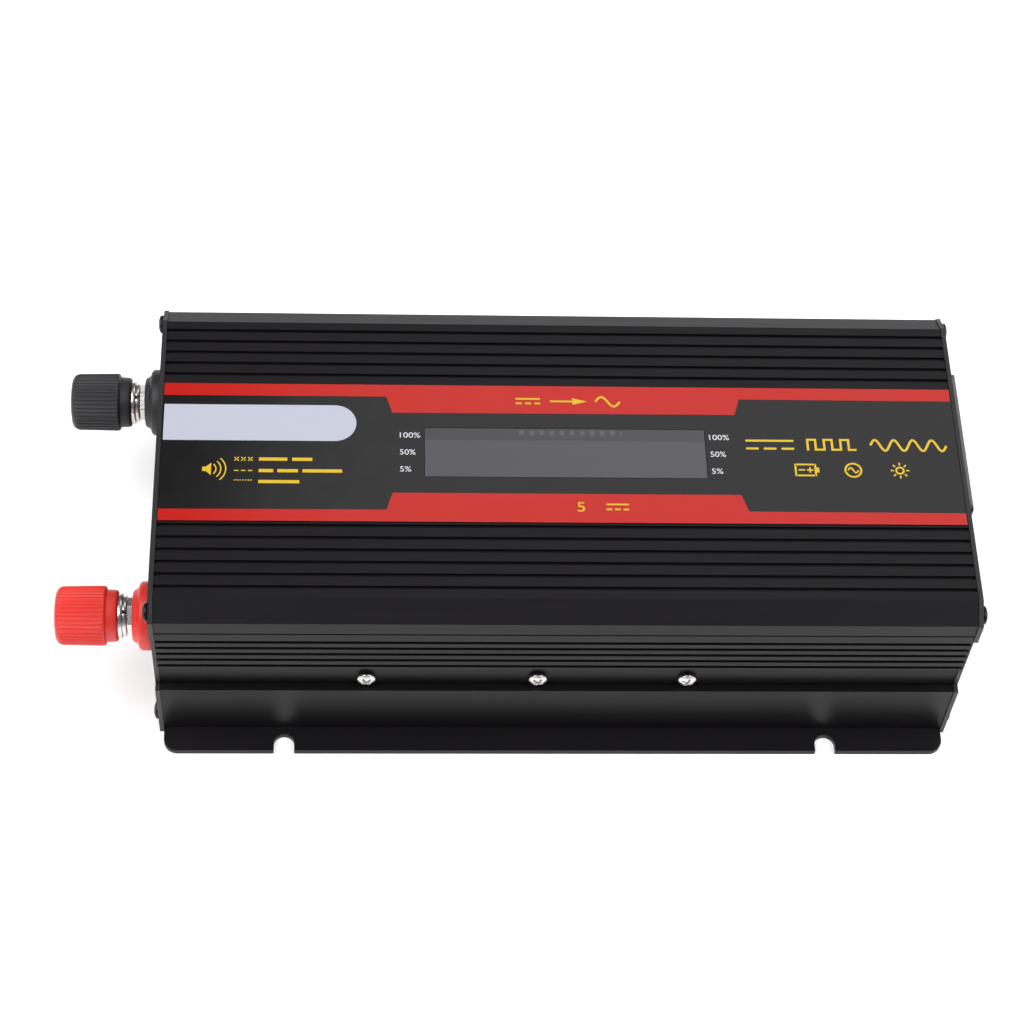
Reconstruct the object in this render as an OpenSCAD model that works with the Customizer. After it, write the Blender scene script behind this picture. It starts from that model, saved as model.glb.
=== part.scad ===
// Power inverter: 12 V binding posts and a fan on the left end, an AC socket, a rocker switch and USB ports
// on the right end. The case is a ribbed cover extrusion that laps onto a flanged base extrusion.
// X runs along the case from the posts to the socket, Y from front to back, Z up from the flat underside.

/* [Case] */
// Length of the cover and base extrusions
case_l = 200; // [190:1:240]
// Height of the closed case
case_h = 56.6; // [56:0.2:64]
// Width across the ribbed side walls
case_w = 93.6; // [92:0.2:100]
// Thickness of the cover's roof
roof_t = 2.6; // [2:0.1:3]
// Thickness of the cover's side walls beside the screw band
wall_t = 2.1; // [1.6:0.1:2.6]
// Width of the long corner chamfers
chamfer_w = 5.6; // [4.5:0.1:6]
// Height of the long corner chamfers
chamfer_h = 3.3; // [2.8:0.1:4]
// Depth of the smooth band that holds the clamp screws
band_d = 2.25; // [2:0.05:2.6]
// Height of the top edge of that band
band_top_z = 32; // [30.5:0.1:32.2]
// Height of the base walls
base_wall_h = 20.9; // [20:0.1:21.4]
// How far the cover's skirt laps down behind the base walls
lap_h = 2.5; // [2:0.1:3]
// Thickness of the base floor
floor_t = 2; // [1.6:0.1:2.4]

/* [Grooves] */
// Height of the lowest deep side groove
side_groove_z = 33.3; // [33.2:0.1:34]
// Spacing of the deep side grooves
side_groove_pitch = 2.82; // [2.6:0.01:3]
// Width of a deep side groove
side_groove_w = 1.2; // [0.9:0.1:1.4]
// Depth of a deep side groove
side_groove_d = 2; // [1:0.1:2.2]
// Distance of the outermost roof groove from the middle
roof_groove_y = 38.4; // [38:0.1:39]
// Spacing of the roof grooves
roof_groove_pitch = 3.43; // [3:0.01:3.6]
// Width of a roof groove
roof_groove_w = 1; // [0.6:0.1:1.4]
// Depth of a roof groove
roof_groove_d = 0.9; // [0.4:0.1:1.2]

/* [Flanges] */
// Width across the two mounting flanges
flange_span = 107; // [106:0.2:116]
// Thickness of the flanges
flange_t = 1.8; // [1.4:0.1:2]
// Corner radius of the flanges
flange_r = 3.4; // [2:0.1:5]
// Distance between the two mounting notches of a flange
notch_spacing = 139; // [110:1:160]
// Width of a mounting notch
notch_w = 5.2; // [4.4:0.1:6]
// Depth of a mounting notch
notch_d = 4.7; // [3.5:0.1:5]

/* [End plates] */
// Thickness of the two sheet end plates
plate_t = 1.2; // [1:0.1:1.6]
// How far an end plate stands out past the case profile
plate_lip = 0.3; // [0.2:0.1:0.6]
// Distance of the corner screws from the side walls
corner_inset = 3.6; // [3.4:0.1:3.8]
// Distance of the top corner screws below the roof
corner_drop = 3.9; // [3.8:0.1:4.2]
// Height of the bottom corner screws
corner_z = 4.4; // [4.3:0.1:4.8]

/* [Fan] */
// Side of the square fan
fan_size = 40; // [38:0.5:40]
// Depth of the fan
fan_t = 10; // [10:0.5:14]
// Spacing of the fan's screws
fan_pitch = 32; // [31:0.5:33]
// Number of fan blades
fan_blades = 7; // [5:1:9]
// Running gap between the blade tips and the fan frame
fan_gap = 0.6; // [0.4:0.1:1]

/* [Binding posts] */
// Distance of the binding posts from the side walls
post_inset = 14.3; // [14:0.1:14.6]
// Height of the post axes
post_z = 33; // [32:0.5:35]
// Diameter of the threaded studs
stud_d = 5; // [4:0.5:5]
// Distance from an end plate to the tip of a closed knob
post_reach = 24.3; // [24:0.1:28]
// Diameter of a knob across its ribs
knob_d = 14.6; // [13:0.1:16]
// Length of the ribbed grip of a knob
knob_grip_l = 12.5; // [10:0.1:13]
// Number of grooves around a knob
knob_grooves = 42; // [24:2:46]
// Diameter of the insulating base of a post
post_base_d = 17.2; // [16:0.1:18]
// Running gap between a stud and the bore of its knob
thread_gap = 0.05; // [0.03:0.01:0.08]

/* [Panel] */
// Width of the printed panel across the roof
panel_w = 41.3; // [38:0.1:42]
// Offset of the panel from the middle towards the back
panel_y = 1; // [0.8:0.1:1.2]
// Thickness of the printed panel
panel_t = 0.25; // [0.2:0.05:0.4]
// Gap between the panel and each end of the case
panel_inset = 0.1; // [0.1:0.1:1.6]
// Length of the display window
window_l = 70.4; // [66:0.1:71]
// Width of the display window
window_w = 14.6; // [13:0.1:15]
// Length of the blank white sticker
sticker_l = 48; // [40:0.1:50]
// Width of the blank white sticker
sticker_w = 10.9; // [8:0.1:12]

/* [AC socket] */
// Side of the square socket face
socket_w = 45; // [44:0.5:45]
// How far the socket face stands out of the end plate
socket_proud = 3; // [2.5:0.1:3.4]
// Offset of the socket from the middle towards the back
socket_y = 11.5; // [10.5:0.1:12]
// Height of the middle of the socket
socket_z = 27.5; // [27:0.1:29]
// Diameter of the round plug recess
recess_d = 39.4; // [39:0.1:40]
// Depth of the plug recess
recess_depth = 17.5; // [16:0.1:18]
// Distance between the two plug pins
pin_pitch = 19; // [18.6:0.1:19.4]
// Diameter of the holes for the plug pins
pin_hole_d = 5.2; // [5:0.1:5.4]

/* [Switch] */
// Length of the rocker switch bezel
switch_l = 21; // [20.4:0.1:22]
// Height of the rocker switch bezel
switch_h = 15; // [14.4:0.1:15.4]
// Distance of the switch column from the front wall
column_inset = 19.3; // [19:0.1:19.6]
// Height of the middle of the switch
switch_z = 41.5; // [41.4:0.1:42]
// Tilt of the rocker at each end of its travel
rocker_tilt = 10; // [6:1:11]

/* [USB ports] */
// Width of the stacked USB shell
usb_w = 13.6; // [13.4:0.1:14]
// Height of the stacked USB shell
usb_h = 15.6; // [15.2:0.1:16]

/* [Boards] */
// Thickness of the circuit boards
board_t = 1.6; // [1.2:0.1:2]
// Height of the underside of the main board
board_z = 8; // [8:0.1:9]
// Gap between the main board and the left end plate
board_gap = 8; // [7:0.5:9]
// Gap between the main board and the back of the socket
board_end_gap = 9.9; // [8.5:0.1:14]
// Gap between the main board and the inside of the base walls
board_side_gap = 2.95; // [2.6:0.05:3.4]
// Height of the two transformers
transformer_h = 32; // [28:1:34]
// Diameter of the input capacitors
input_cap_d = 13; // [10:0.5:13]
// Height of the input capacitors
input_cap_h = 24; // [18:1:30]
// Diameter of the high-voltage capacitor
bus_cap_d = 22; // [18:0.5:23]
// Height of the high-voltage capacitor
bus_cap_h = 32; // [25:1:35]

/* [Hidden] */
$fn = 48;
eps = 0.01;

// Case profile
side_y = case_w / 2;
band_y = side_y - band_d;
cover_in_y = band_y - wall_t;
roof_z = case_h - roof_t;
cap_z = case_h - chamfer_h;
lap_z = base_wall_h - lap_h;
lap_gap = 0.1;
base_y = side_y;
base_in_y = base_y - 2.45;
base_slope = 1.3;
side_grooves = 5;
roof_grooves = 5;
hairline_w = 0.5;
hairline_d = 0.4;
groove_top_z = side_groove_z + (side_grooves - 1) * side_groove_pitch + side_groove_w / 2;
hairline_z = groove_top_z + 0.4 * (cap_z - groove_top_z);
flange_y = flange_span / 2;
end_x = case_l / 2;
plate_x = end_x + plate_t;

// Screws
screw_r = 1.2;
port_r = 1.25;
port_depth = 12;
port_boss_r = 2.9;
corner_y = side_y - corner_inset;
corner_top_z = case_h - corner_drop;
clamp_x = [-48.7, -5.8, 31.8];
clamp_z = base_wall_h + 3.4;
clamp_r = 1.4;
head_r = 2.3;
head_h = 1.4;
clamp_head_h = 1.9;

// Fan
fan_z = (case_h + base_wall_h) / 2 - 7.5;
fan_bore_r = fan_size / 2 - 1;
fan_hub_r = 10;
fan_in_x = -end_x + fan_t;
fan_screw_r = 1.4;
sunk_r = 2.5;
sunk_h = 1.1;
fan_nut_t = 2.4;
fan_shaft_r = 1;
fan_shaft_gap = 0.05;
grille_rings = 4;
grille_slot = 2.6;
grille_pitch = 4.1;
grille_first_r = 4.6;

// Binding posts: distances are measured outwards from the outer face of the end plate
post_y = side_y - post_inset;
stud_r = stud_d / 2;
flange_disc_l = 3.8;
boss_l = 1.5;
boss_r = 6.2;
seat_nut_af = stud_d * 1.6;
seat_nut_t = 2.7;
seat_out = flange_disc_l + boss_l + 1.4;
washer_t = 1;
washer_r = 5.65;
spring_washer_r = 5.1;
washer_bore_r = stud_r + 0.3;
stack_gap = 0.1;
neck_in = seat_out + stack_gap + 2 * washer_t + stack_gap;
neck_r = 6.55;
grip_in = post_reach - knob_grip_l;
stud_out = post_reach - 3;
post_spigot_r = 5;
insulator_t = 2;
insulator_r = 7.5;
busbar_t = 1;
busbar_w = 10;
inner_nut_t = 4.5;
inner_nut_af = 9.2;
stud_in = insulator_t + busbar_t + inner_nut_t + 1.5;

// Display
window_x = 0.7;
window_y = panel_y + 0.1;
window_clear = 0.15;
display_t = 2.8;
display_l = window_l + 2.4;
display_w = window_w + 4;
display_board_l = display_l + 12;
display_board_w = display_w + 6;
display_board_z = roof_z - display_t - board_t;
spacer_r = 2;

// AC socket
socket_in_x = plate_x + socket_proud - recess_depth;
socket_cup_r = recess_d / 2 + 1.5;
socket_floor_t = 2;
socket_corner_r = 5;
socket_bevel = 1.2;
socket_back_x = socket_in_x - socket_floor_t;
socket_back_l = 18;
socket_back_y = 15;
socket_back_z = 19.2;
sleeve_r = 3.6;
strap_w = 6;
strap_t = 0.8;
strap_z = recess_d / 2 - 2.5;

// Switch
column_y = column_inset - side_y;
rocker_half_l = switch_l / 2 - 2.5;
rocker_half_h = switch_h / 2 - 2.2;
switch_body_l = 15;
switch_proud = 2;
switch_pivot_x = plate_x - 2.7;
rocker_pin_r = 1;
rocker_pin_gap = 0.05;
switch_wall_y = switch_l / 2 - 1;
switch_wall_z = switch_h / 2 - 1;

// USB ports and indicator lamps
usb_board_z = board_z + 2.6;
usb_z = usb_board_z + board_t + usb_h / 2;
usb_l = 17.5;
usb_face_x = plate_x + 0.3;
usb_slot_w = usb_w - 1;
usb_slot_h = 5.3;
usb_slot_dz = usb_h / 4 + 0.1;
usb_board_l = 27;
usb_board_w = 25;
led_r = 1.5;
led_dy = 10.5;
led_z = usb_z + usb_h / 2 + 4.2;
led_in_x = plate_x - 6.2;

// Main board
board_x0 = -end_x + board_gap;
board_x1 = socket_back_x - socket_back_l - board_end_gap;
board_top = board_z + board_t;
board_screw_x = [board_x0 + 18, board_x1 - 43, board_x1 - 4];
board_w = 2 * (base_in_y - board_side_gap);
board_screw_y = board_w / 2 - 5.4;
transistor_dx = 8;
transistor_w = 10.2;
transistor_t = 4.5;
pad_t = 0.3;
tab_y = cover_in_y - pad_t;
bar_y = tab_y - transistor_t;
bar_t = 2;
bar_l = 30;
transistor_z = lap_z + 0.5;
transformer_y = 14.5;
input_cap_x = board_x0 + 12;
input_cap_dy = 14;
part_gap = 1.8;
fuse_t = 4.8;
fuse_w = 19;
fuse_h = 12;
fuse_lift = 3;
fuse_dy = 21;
fuse_blade_t = 0.8;
fuse_blade_w = 5.2;
fuse_blade_dy = 6;
core_l = 34;
core_w = 12;
core_leg = 5.2;
core_bore = 6.6;
bobbin_t = 3.5;
bobbin_l = 30;
coil_w = 24;
window_h = 5;
fuse_x = input_cap_x + input_cap_d / 2 + part_gap + fuse_t / 2;
transformer_x = fuse_x + fuse_t / 2 + part_gap + core_l / 2;
choke_r = 12;
choke_bore_r = 4.5;
choke_h = 11;
film_cap_l = 16;
film_cap_w = 8;
film_cap_h = 14;
chip_l = 8;
chip_h = 3.5;
buzzer_r = 6;
buzzer_h = 9.5;
small_cap_r = 4;
small_cap_h = 8.5;
output_y = 14;
chip_x = board_x1 - 9;
film_cap_x = board_x1 - 27;
wire_start_x = board_x1 - 16;
output_x = film_cap_x - film_cap_l / 2 - 5 - choke_r;
ribbon_t = 0.6;
ribbon_w = 14;
ribbon_x = window_x + display_board_l / 2 - 2.6;

// ---------- shared shapes ----------

// Extrudes an outline drawn as (y, z) along X, about the middle of the case.
module along_x(l) {
    rotate([90, 0, 90]) linear_extrude(height = l, center = true) children();
}

// Extrudes an outline drawn as (y, z) from x0 to x1.
module span_x(x0, x1) {
    translate([(x0 + x1) / 2, 0, 0]) along_x(x1 - x0) children();
}

// A round bar along X from x0 to x1.
module rod_x(x0, x1, y, z, r) {
    translate([x0, y, z]) rotate([0, 90, 0]) cylinder(r = r, h = x1 - x0);
}

// A block given by its two opposite corners.
module block(a, b) {
    translate(a) cube(b - a);
}

// Draws its children in front and mirrored behind.
module both_sides() {
    children();
    mirror([0, 1, 0]) children();
}

// A rectangle with round corners, centred on the origin and extruded upwards.
module rounded_block(w, d, h, r) {
    union() {
        translate([-w / 2 + r, -d / 2, 0]) cube([w - 2 * r, d, h]);
        translate([-w / 2, -d / 2 + r, 0]) cube([w, d - 2 * r, h]);
        for (sx = [-1, 1], sy = [-1, 1])
            translate([sx * (w / 2 - r), sy * (d / 2 - r), 0]) cylinder(r = r, h = h);
    }
}

// A pan-head screw with a cross recess: the head stands up from z = 0 and the shank hangs below.
module pan_screw(hr, hh, sr, sl) {
    edge = hh * 0.45;
    difference() {
        union() {
            cylinder(r = hr, h = hh - edge + eps);
            translate([0, 0, hh - edge]) cylinder(r1 = hr, r2 = hr * 0.62, h = edge);
            translate([0, 0, -sl]) cylinder(r = sr, h = sl + eps);
        }
        for (a = [0, 90])
            rotate([0, 0, a]) translate([-hr * 0.55, -hr * 0.14, hh * 0.35]) cube([hr * 1.1, hr * 0.28, hh]);
    }
}

// A countersunk screw with a cross recess: its flat head lies just below z = 0 and the shank hangs below.
module sunk_screw(hr, hh, sr, sl) {
    difference() {
        union() {
            translate([0, 0, -hh]) cylinder(r1 = sr, r2 = hr, h = hh - 0.05);
            translate([0, 0, -sl]) cylinder(r = sr, h = sl - hh + eps);
        }
        for (a = [0, 90])
            rotate([0, 0, a]) translate([-hr * 0.5, -hr * 0.13, -hh * 0.7]) cube([hr, hr * 0.26, hh]);
    }
}

// A hexagonal nut along X, from x0 towards +X.
module hex_nut_x(x0, t, af, bore) {
    translate([x0, 0, 0]) rotate([0, 90, 0]) difference() {
        cylinder(r = af / 2 / cos(30), h = t, $fn = 6);
        translate([0, 0, -1]) cylinder(r = bore, h = t + 2);
    }
}

// Moves a shape drawn on the X axis to one of the two posts: side is -1 in front and 1 behind.
module at_post(side) {
    translate([0, side * post_y, post_z]) children();
}

// The x of a point that lies a distance outside the left end plate.
function out_x(d) = -plate_x - d;

// ---------- case ----------

// One half of the cover's outline, from the roof down to the skirt and up inside.
function cover_outer() = [
    [side_y - chamfer_w, case_h], [side_y, cap_z], [side_y, band_top_z],
    [band_y, band_top_z], [band_y, lap_z], [cover_in_y, lap_z]
];

function cover_inner() = [
    [cover_in_y, cap_z - roof_t + 0.4], [cover_in_y - chamfer_w, roof_z]
];

function mirror_y(points) = [for (i = [len(points) - 1:-1:0]) [-points[i][0], points[i][1]]];

module cover_outline() {
    half = concat(cover_outer(), cover_inner());
    polygon(concat(half, mirror_y(half)));
}

module side_groove_cuts() {
    for (s = [-1, 1]) {
        for (i = [0:side_grooves - 1])
            translate([s * side_y, side_groove_z + i * side_groove_pitch])
                square([2 * side_groove_d, side_groove_w], center = true);
        translate([s * side_y, hairline_z]) square([2 * hairline_d, hairline_w], center = true);
    }
}

module roof_groove_cuts() {
    for (i = [0:roof_grooves]) {
        y = -roof_groove_y + i * roof_groove_pitch * 1.03;
        translate([y, case_h]) square([roof_groove_w, 2 * roof_groove_d], center = true);
    }
    for (i = [0:roof_grooves - 1]) {
        y = roof_groove_y - i * roof_groove_pitch;
        translate([y, case_h]) square([roof_groove_w, 2 * roof_groove_d], center = true);
    }
}

// The blind screw ports at the ends of the extrusions.
module port_holes(z, r) {
    for (sx = [-1, 1], sy = [-1, 1])
        translate([sx * (end_x - port_depth / 2 + 1), sy * corner_y, z]) rotate([0, 90, 0])
            cylinder(r = r, h = port_depth + 2, center = true);
}

module top_cover() {
    color("#2b2b2e") difference() {
        along_x(case_l) difference() {
            cover_outline();
            side_groove_cuts();
            roof_groove_cuts();
        }
        port_holes(corner_top_z, port_r);
        for (x = clamp_x)
            translate([x, 0, clamp_z]) rotate([90, 0, 0]) cylinder(r = clamp_r + 0.2, h = case_w, center = true);
        translate([window_x, window_y, roof_z]) cube([window_l + 2 * window_clear,
            window_w + 2 * window_clear, 3 * roof_t], center = true);
    }
}

function base_half() = [
    [flange_y, 0], [flange_y, flange_t], [base_y, flange_t], [base_y, base_wall_h], [band_y + lap_gap, base_wall_h],
    [band_y + lap_gap, lap_z], [cover_in_y, lap_z], [cover_in_y, lap_z - base_slope],
    [base_in_y, lap_z - 2 * base_slope], [base_in_y, floor_t]
];

// The outside corner of a flange: what is cut away to round it.
module flange_corner() {
    difference() {
        translate([0, 0, -1]) cube([flange_r + 1, flange_r + 1, flange_t + 2]);
        translate([0, 0, -2]) cylinder(r = flange_r, h = flange_t + 4);
    }
}

module mounting_notch() {
    depth = notch_d - notch_w / 2;
    translate([0, -flange_y + depth, -1]) cylinder(r = notch_w / 2, h = flange_t + 2);
    translate([-notch_w / 2, -flange_y - 1, -1]) cube([notch_w, depth + 1, flange_t + 2]);
}

module base_tray() {
    color("#29292c") difference() {
        union() {
            along_x(case_l) polygon(concat(base_half(), mirror_y(base_half())));
            for (s = [-1, 1]) intersection() {
                rod_x(-end_x, end_x, s * corner_y, corner_z, port_boss_r);
                block([-end_x, -base_y + eps, 1], [end_x, base_y - eps, board_z]);
            }
        }
        port_holes(corner_z, port_r);
        for (sx = [-1, 1], sy = [-1, 1]) mirror([sx < 0 ? 1 : 0, 0, 0]) mirror([0, sy < 0 ? 1 : 0, 0])
            translate([end_x - flange_r, flange_y - flange_r, 0]) flange_corner();
        both_sides() for (s = [-1, 1]) translate([s * notch_spacing / 2, 0, 0]) mounting_notch();
    }
}

// One half of an end plate's outline: it stands out round the cap and base and runs in beside the ribs.
function plate_half() = [
    [side_y - chamfer_w + plate_lip / 2, case_h + plate_lip], [side_y + plate_lip, cap_z + plate_lip / 2],
    [side_y + plate_lip, groove_top_z + 0.7], [side_y - side_groove_d + 0.1, groove_top_z + 0.7],
    [side_y - side_groove_d + 0.1, base_wall_h + plate_lip], [base_y + plate_lip, base_wall_h + plate_lip],
    [base_y + plate_lip, 0]
];

module end_plate_blank(s) {
    x0 = s > 0 ? end_x : -plate_x;
    difference() {
        span_x(x0, x0 + plate_t) polygon(concat(plate_half(), mirror_y(plate_half())));
        for (y = [-corner_y, corner_y], z = [corner_z, corner_top_z])
            rod_x(x0 - 1, x0 + plate_t + 1, y, z, screw_r + 0.4);
    }
}

// Ring-shaped air slots with four bridges left between their ends.
module grille_slots() {
    translate([-plate_x - 1, 0, fan_z]) rotate([0, 90, 0]) difference() {
        for (i = [0:grille_rings - 1]) difference() {
            cylinder(r = grille_first_r + i * grille_pitch, h = plate_t + 2);
            translate([0, 0, -1]) cylinder(r = grille_first_r + i * grille_pitch - grille_slot, h = plate_t + 4);
        }
        for (a = [45, 135]) rotate([0, 0, a]) translate([-fan_size, -1.1, -1]) cube([2 * fan_size, 2.2, plate_t + 4]);
    }
}

module fan_screw_places() {
    for (sy = [-1, 1], sz = [-1, 1]) translate([0, sy * fan_pitch / 2, fan_z + sz * fan_pitch / 2]) children();
}

module dc_end_plate() {
    color("#232326") difference() {
        end_plate_blank(-1);
        grille_slots();
        fan_screw_places() {
            rod_x(-plate_x - 1, -end_x + 1, 0, 0, fan_screw_r + 0.2);
            translate([-plate_x, 0, 0]) rotate([0, 90, 0]) cylinder(r1 = sunk_r + 0.15, r2 = fan_screw_r + 0.2, h = sunk_h);
        }
        for (s = [-1, 1]) at_post(s) rod_x(-plate_x - 1, -end_x + 1, 0, 0, post_spigot_r + 0.1);
    }
}

module ac_end_plate() {
    color("#232326") difference() {
        end_plate_blank(1);
        rod_x(end_x - 1, plate_x + 1, socket_y, socket_z, socket_cup_r + 0.2);
        translate([end_x, column_y, switch_z])
            cube([3 * plate_t, 2 * switch_wall_y + 0.2, 2 * switch_wall_z + 0.2], center = true);
        translate([end_x, column_y, usb_z]) cube([3 * plate_t, usb_w + 0.3, usb_h + 0.3], center = true);
        for (s = [-1, 1]) rod_x(end_x - 1, plate_x + 1, column_y + s * led_dy, led_z, led_r + 0.1);
    }
}

module end_plate_screws() {
    color("#1d1d20") for (sx = [-1, 1], y = [-corner_y, corner_y], z = [corner_z, corner_top_z])
        translate([sx * plate_x, y, z]) rotate([0, sx * 90, 0]) pan_screw(head_r, head_h, screw_r, 9);
}

module clamp_screws() {
    color("#c9c9cc") both_sides() for (x = clamp_x)
        translate([x, -band_y, clamp_z]) rotate([90, 0, 0])
            pan_screw(head_r, clamp_head_h, clamp_r, band_y - bar_y + bar_t);
}

// ---------- fan ----------

module fan_frame() {
    color("#202022") translate([-end_x, 0, fan_z]) rotate([0, 90, 0]) difference() {
        union() {
            difference() {
                rounded_block(fan_size, fan_size, fan_t, 3);
                translate([0, 0, -1]) cylinder(r = fan_bore_r, h = fan_t + 2);
            }
            translate([0, 0, fan_t - 1.5]) cylinder(r = fan_hub_r, h = 1.5);
            translate([0, 0, 4]) cylinder(r = 2.4, h = fan_t - 4);
            for (a = [45, 135, 225, 315]) rotate([0, 0, a])
                translate([fan_hub_r - 1, -1.2, fan_t - 1.5]) cube([fan_bore_r - fan_hub_r + 2, 2.4, 1.5]);
        }
        translate([0, 0, 2]) cylinder(r = fan_shaft_r + fan_shaft_gap, h = fan_t - 2.6);
        for (sx = [-1, 1], sy = [-1, 1]) translate([sx * fan_pitch / 2, sy * fan_pitch / 2, -1])
            cylinder(r = fan_screw_r + 0.1, h = fan_t + 2);
    }
}

module fan_rotor() {
    cup_h = fan_t - 2.6;
    color("#2a2a2d") translate([-end_x + 0.6, 0, fan_z]) rotate([0, 90, 0]) union() {
        difference() {
            cylinder(r = fan_hub_r - 0.4, h = cup_h);
            translate([0, 0, 1.4]) cylinder(r = fan_hub_r - 1.6, h = cup_h);
        }
        cylinder(r = fan_shaft_r, h = fan_t - 2);
        intersection() {
            for (i = [0:fan_blades - 1]) rotate([0, 0, i * 360 / fan_blades])
                translate([fan_hub_r + 3.5, 0, cup_h / 2]) rotate([52, 0, 0])
                    cube([2 * fan_hub_r - 11.5, 8.4, 0.9], center = true);
            difference() {
                cylinder(r = fan_bore_r - fan_gap, h = cup_h);
                translate([0, 0, -1]) cylinder(r = fan_hub_r - 0.9, h = cup_h + 2);
            }
        }
    }
}

module fan_screws() {
    color("#1d1d20") fan_screw_places() translate([-plate_x, 0, 0]) rotate([0, -90, 0])
        sunk_screw(sunk_r, sunk_h, fan_screw_r, plate_t + fan_t + fan_nut_t + 1);
}

module fan_nuts() {
    color("#b9b9bc") fan_screw_places() hex_nut_x(fan_in_x, fan_nut_t, 5.5, fan_screw_r + 0.05);
}

// ---------- binding posts ----------

module post_base() {
    rim_r = post_base_d / 2;
    difference() {
        union() {
            translate([out_x(0), 0, 0]) rotate([0, -90, 0]) rotate_extrude()
                polygon([[0, 0], [rim_r, 0], [rim_r, flange_disc_l - 0.9], [rim_r - 0.3, flange_disc_l - 0.3],
                    [rim_r - 1, flange_disc_l], [boss_r + 0.9, flange_disc_l],
                    [boss_r, flange_disc_l + boss_l], [0, flange_disc_l + boss_l]]);
            rod_x(out_x(0) - eps, -end_x, 0, 0, post_spigot_r);
        }
        rod_x(out_x(flange_disc_l + boss_l + 1), -end_x + 1, 0, 0, stud_r + 0.1);
        translate([out_x(seat_out), 0, 0]) rotate([0, 90, 0])
            cylinder(r = (seat_nut_af + 0.2) / 2 / cos(30), h = seat_nut_t, $fn = 6);
    }
}

module post_stud() {
    rod_x(out_x(stud_out), -end_x + stud_in, 0, 0, stud_r);
}

// A knob: a grooved grip with a rounded rim and a shallow draft, on a slimmer neck, over a blind bore.
module post_knob() {
    r = knob_d / 2;
    rim = 1.6;
    difference() {
        translate([out_x(post_reach), 0, 0]) rotate([0, 90, 0]) difference() {
            rotate_extrude() union() {
                polygon([[0, 0], [r - rim, 0], [r - 0.5, 0.55], [r, rim], [r + 0.15, knob_grip_l - 0.5],
                    [r - 0.3, knob_grip_l], [neck_r, knob_grip_l], [neck_r - 0.2, post_reach - neck_in],
                    [0, post_reach - neck_in]]);
            }
            for (i = [0:knob_grooves - 1]) rotate([0, 0, i * 360 / knob_grooves])
                translate([r + 0.3, 0, rim]) cylinder(r = 0.55, h = knob_grip_l);
        }
        rod_x(out_x(stud_out + 1), out_x(neck_in) + 1, 0, 0, stud_r + thread_gap);
    }
}

module plain_washer() {
    difference() {
        rod_x(out_x(neck_in - stack_gap), out_x(neck_in - stack_gap - washer_t), 0, 0, washer_r);
        rod_x(out_x(neck_in), out_x(seat_out), 0, 0, washer_bore_r);
    }
}

// A split spring washer.
module spring_washer() {
    x = out_x(seat_out + stack_gap + washer_t);
    difference() {
        rod_x(x, x + washer_t, 0, 0, spring_washer_r);
        rod_x(x - 1, x + washer_t + 1, 0, 0, washer_bore_r);
        rotate([20, 0, 0]) block([x - 1, -0.4, 0], [x + washer_t + 1, 0.4, 2 * spring_washer_r]);
    }
}

// A copper strip bent down from a stud to the main board.
module busbar() {
    x = -end_x + insulator_t;
    difference() {
        union() {
            block([x, -busbar_w / 2, board_top], [x + busbar_t, busbar_w / 2, post_z + 6]);
            block([x, -busbar_w / 2, board_top], [board_x0 + 6, busbar_w / 2, board_top + busbar_t]);
        }
        rod_x(x - 1, x + busbar_t + 1, 0, post_z, stud_r + 0.1);
    }
}

module positive_post_base() { color("#d8352c") at_post(-1) post_base(); }
module negative_post_base() { color("#1c1c1e") at_post(1) post_base(); }
module positive_stud() { color("#c4c4c6") at_post(-1) post_stud(); }
module negative_stud() { color("#c4c4c6") at_post(1) post_stud(); }
module positive_knob() { color("#e23a30") at_post(-1) post_knob(); }
module negative_knob() { color("#1e1e20") at_post(1) post_knob(); }
module positive_plain_washer() { color("#cfcfd1") at_post(-1) plain_washer(); }
module negative_plain_washer() { color("#cfcfd1") at_post(1) plain_washer(); }
module positive_spring_washer() { color("#b5b5b8") at_post(-1) spring_washer(); }
module negative_spring_washer() { color("#b5b5b8") at_post(1) spring_washer(); }
module positive_busbar() { color("#b87040") translate([0, -post_y, 0]) busbar(); }
module negative_busbar() { color("#b87040") translate([0, post_y, 0]) busbar(); }

module post_seat_nuts() {
    color("#c4c4c6") for (s = [-1, 1]) at_post(s) hex_nut_x(out_x(seat_out), seat_nut_t, seat_nut_af, stud_r);
}

module post_insulators() {
    color("#e6e2d8") for (s = [-1, 1]) at_post(s) difference() {
        rod_x(-end_x, -end_x + insulator_t, 0, 0, insulator_r);
        rod_x(-end_x - 1, -end_x + insulator_t + 1, 0, 0, stud_r + 0.1);
    }
}

module post_inner_nuts() {
    color("#c4c4c6") for (s = [-1, 1]) at_post(s)
        hex_nut_x(-end_x + insulator_t + busbar_t, inner_nut_t, inner_nut_af, stud_r);
}

// ---------- roof panel and display ----------

module at_window(z) {
    translate([window_x, window_y, z]) children();
}

module panel_overlay() {
    color("#26262a") difference() {
        translate([0, panel_y, case_h + panel_t / 2]) cube([case_l - 2 * panel_inset, panel_w, panel_t], center = true);
        at_window(case_h) cube([window_l + 2 * window_clear, window_w + 2 * window_clear, 4], center = true);
    }
}

module rating_sticker() {
    r = sticker_w / 2;
    x0 = -end_x + panel_inset + 0.35;
    color("#ccd2e2") translate([0, panel_y + 8.6, case_h + panel_t]) union() {
        translate([x0, -r, 0]) cube([sticker_l - r, sticker_w, 0.1]);
        translate([x0 + sticker_l - r, 0, 0]) cylinder(r = r, h = 0.1);
    }
}

module display_window() {
    color("#6a696f", 0.7) at_window(roof_z)
        translate([0, 0, (roof_t + panel_t) / 2]) cube([window_l, window_w, roof_t + panel_t], center = true);
}

module display_module() {
    color("#5d5c62") at_window(roof_z - display_t / 2) cube([display_l, display_w, display_t], center = true);
}

module display_board() {
    color("#1f5a35") at_window(display_board_z + board_t / 2)
        cube([display_board_l, display_board_w, board_t], center = true);
}

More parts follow.
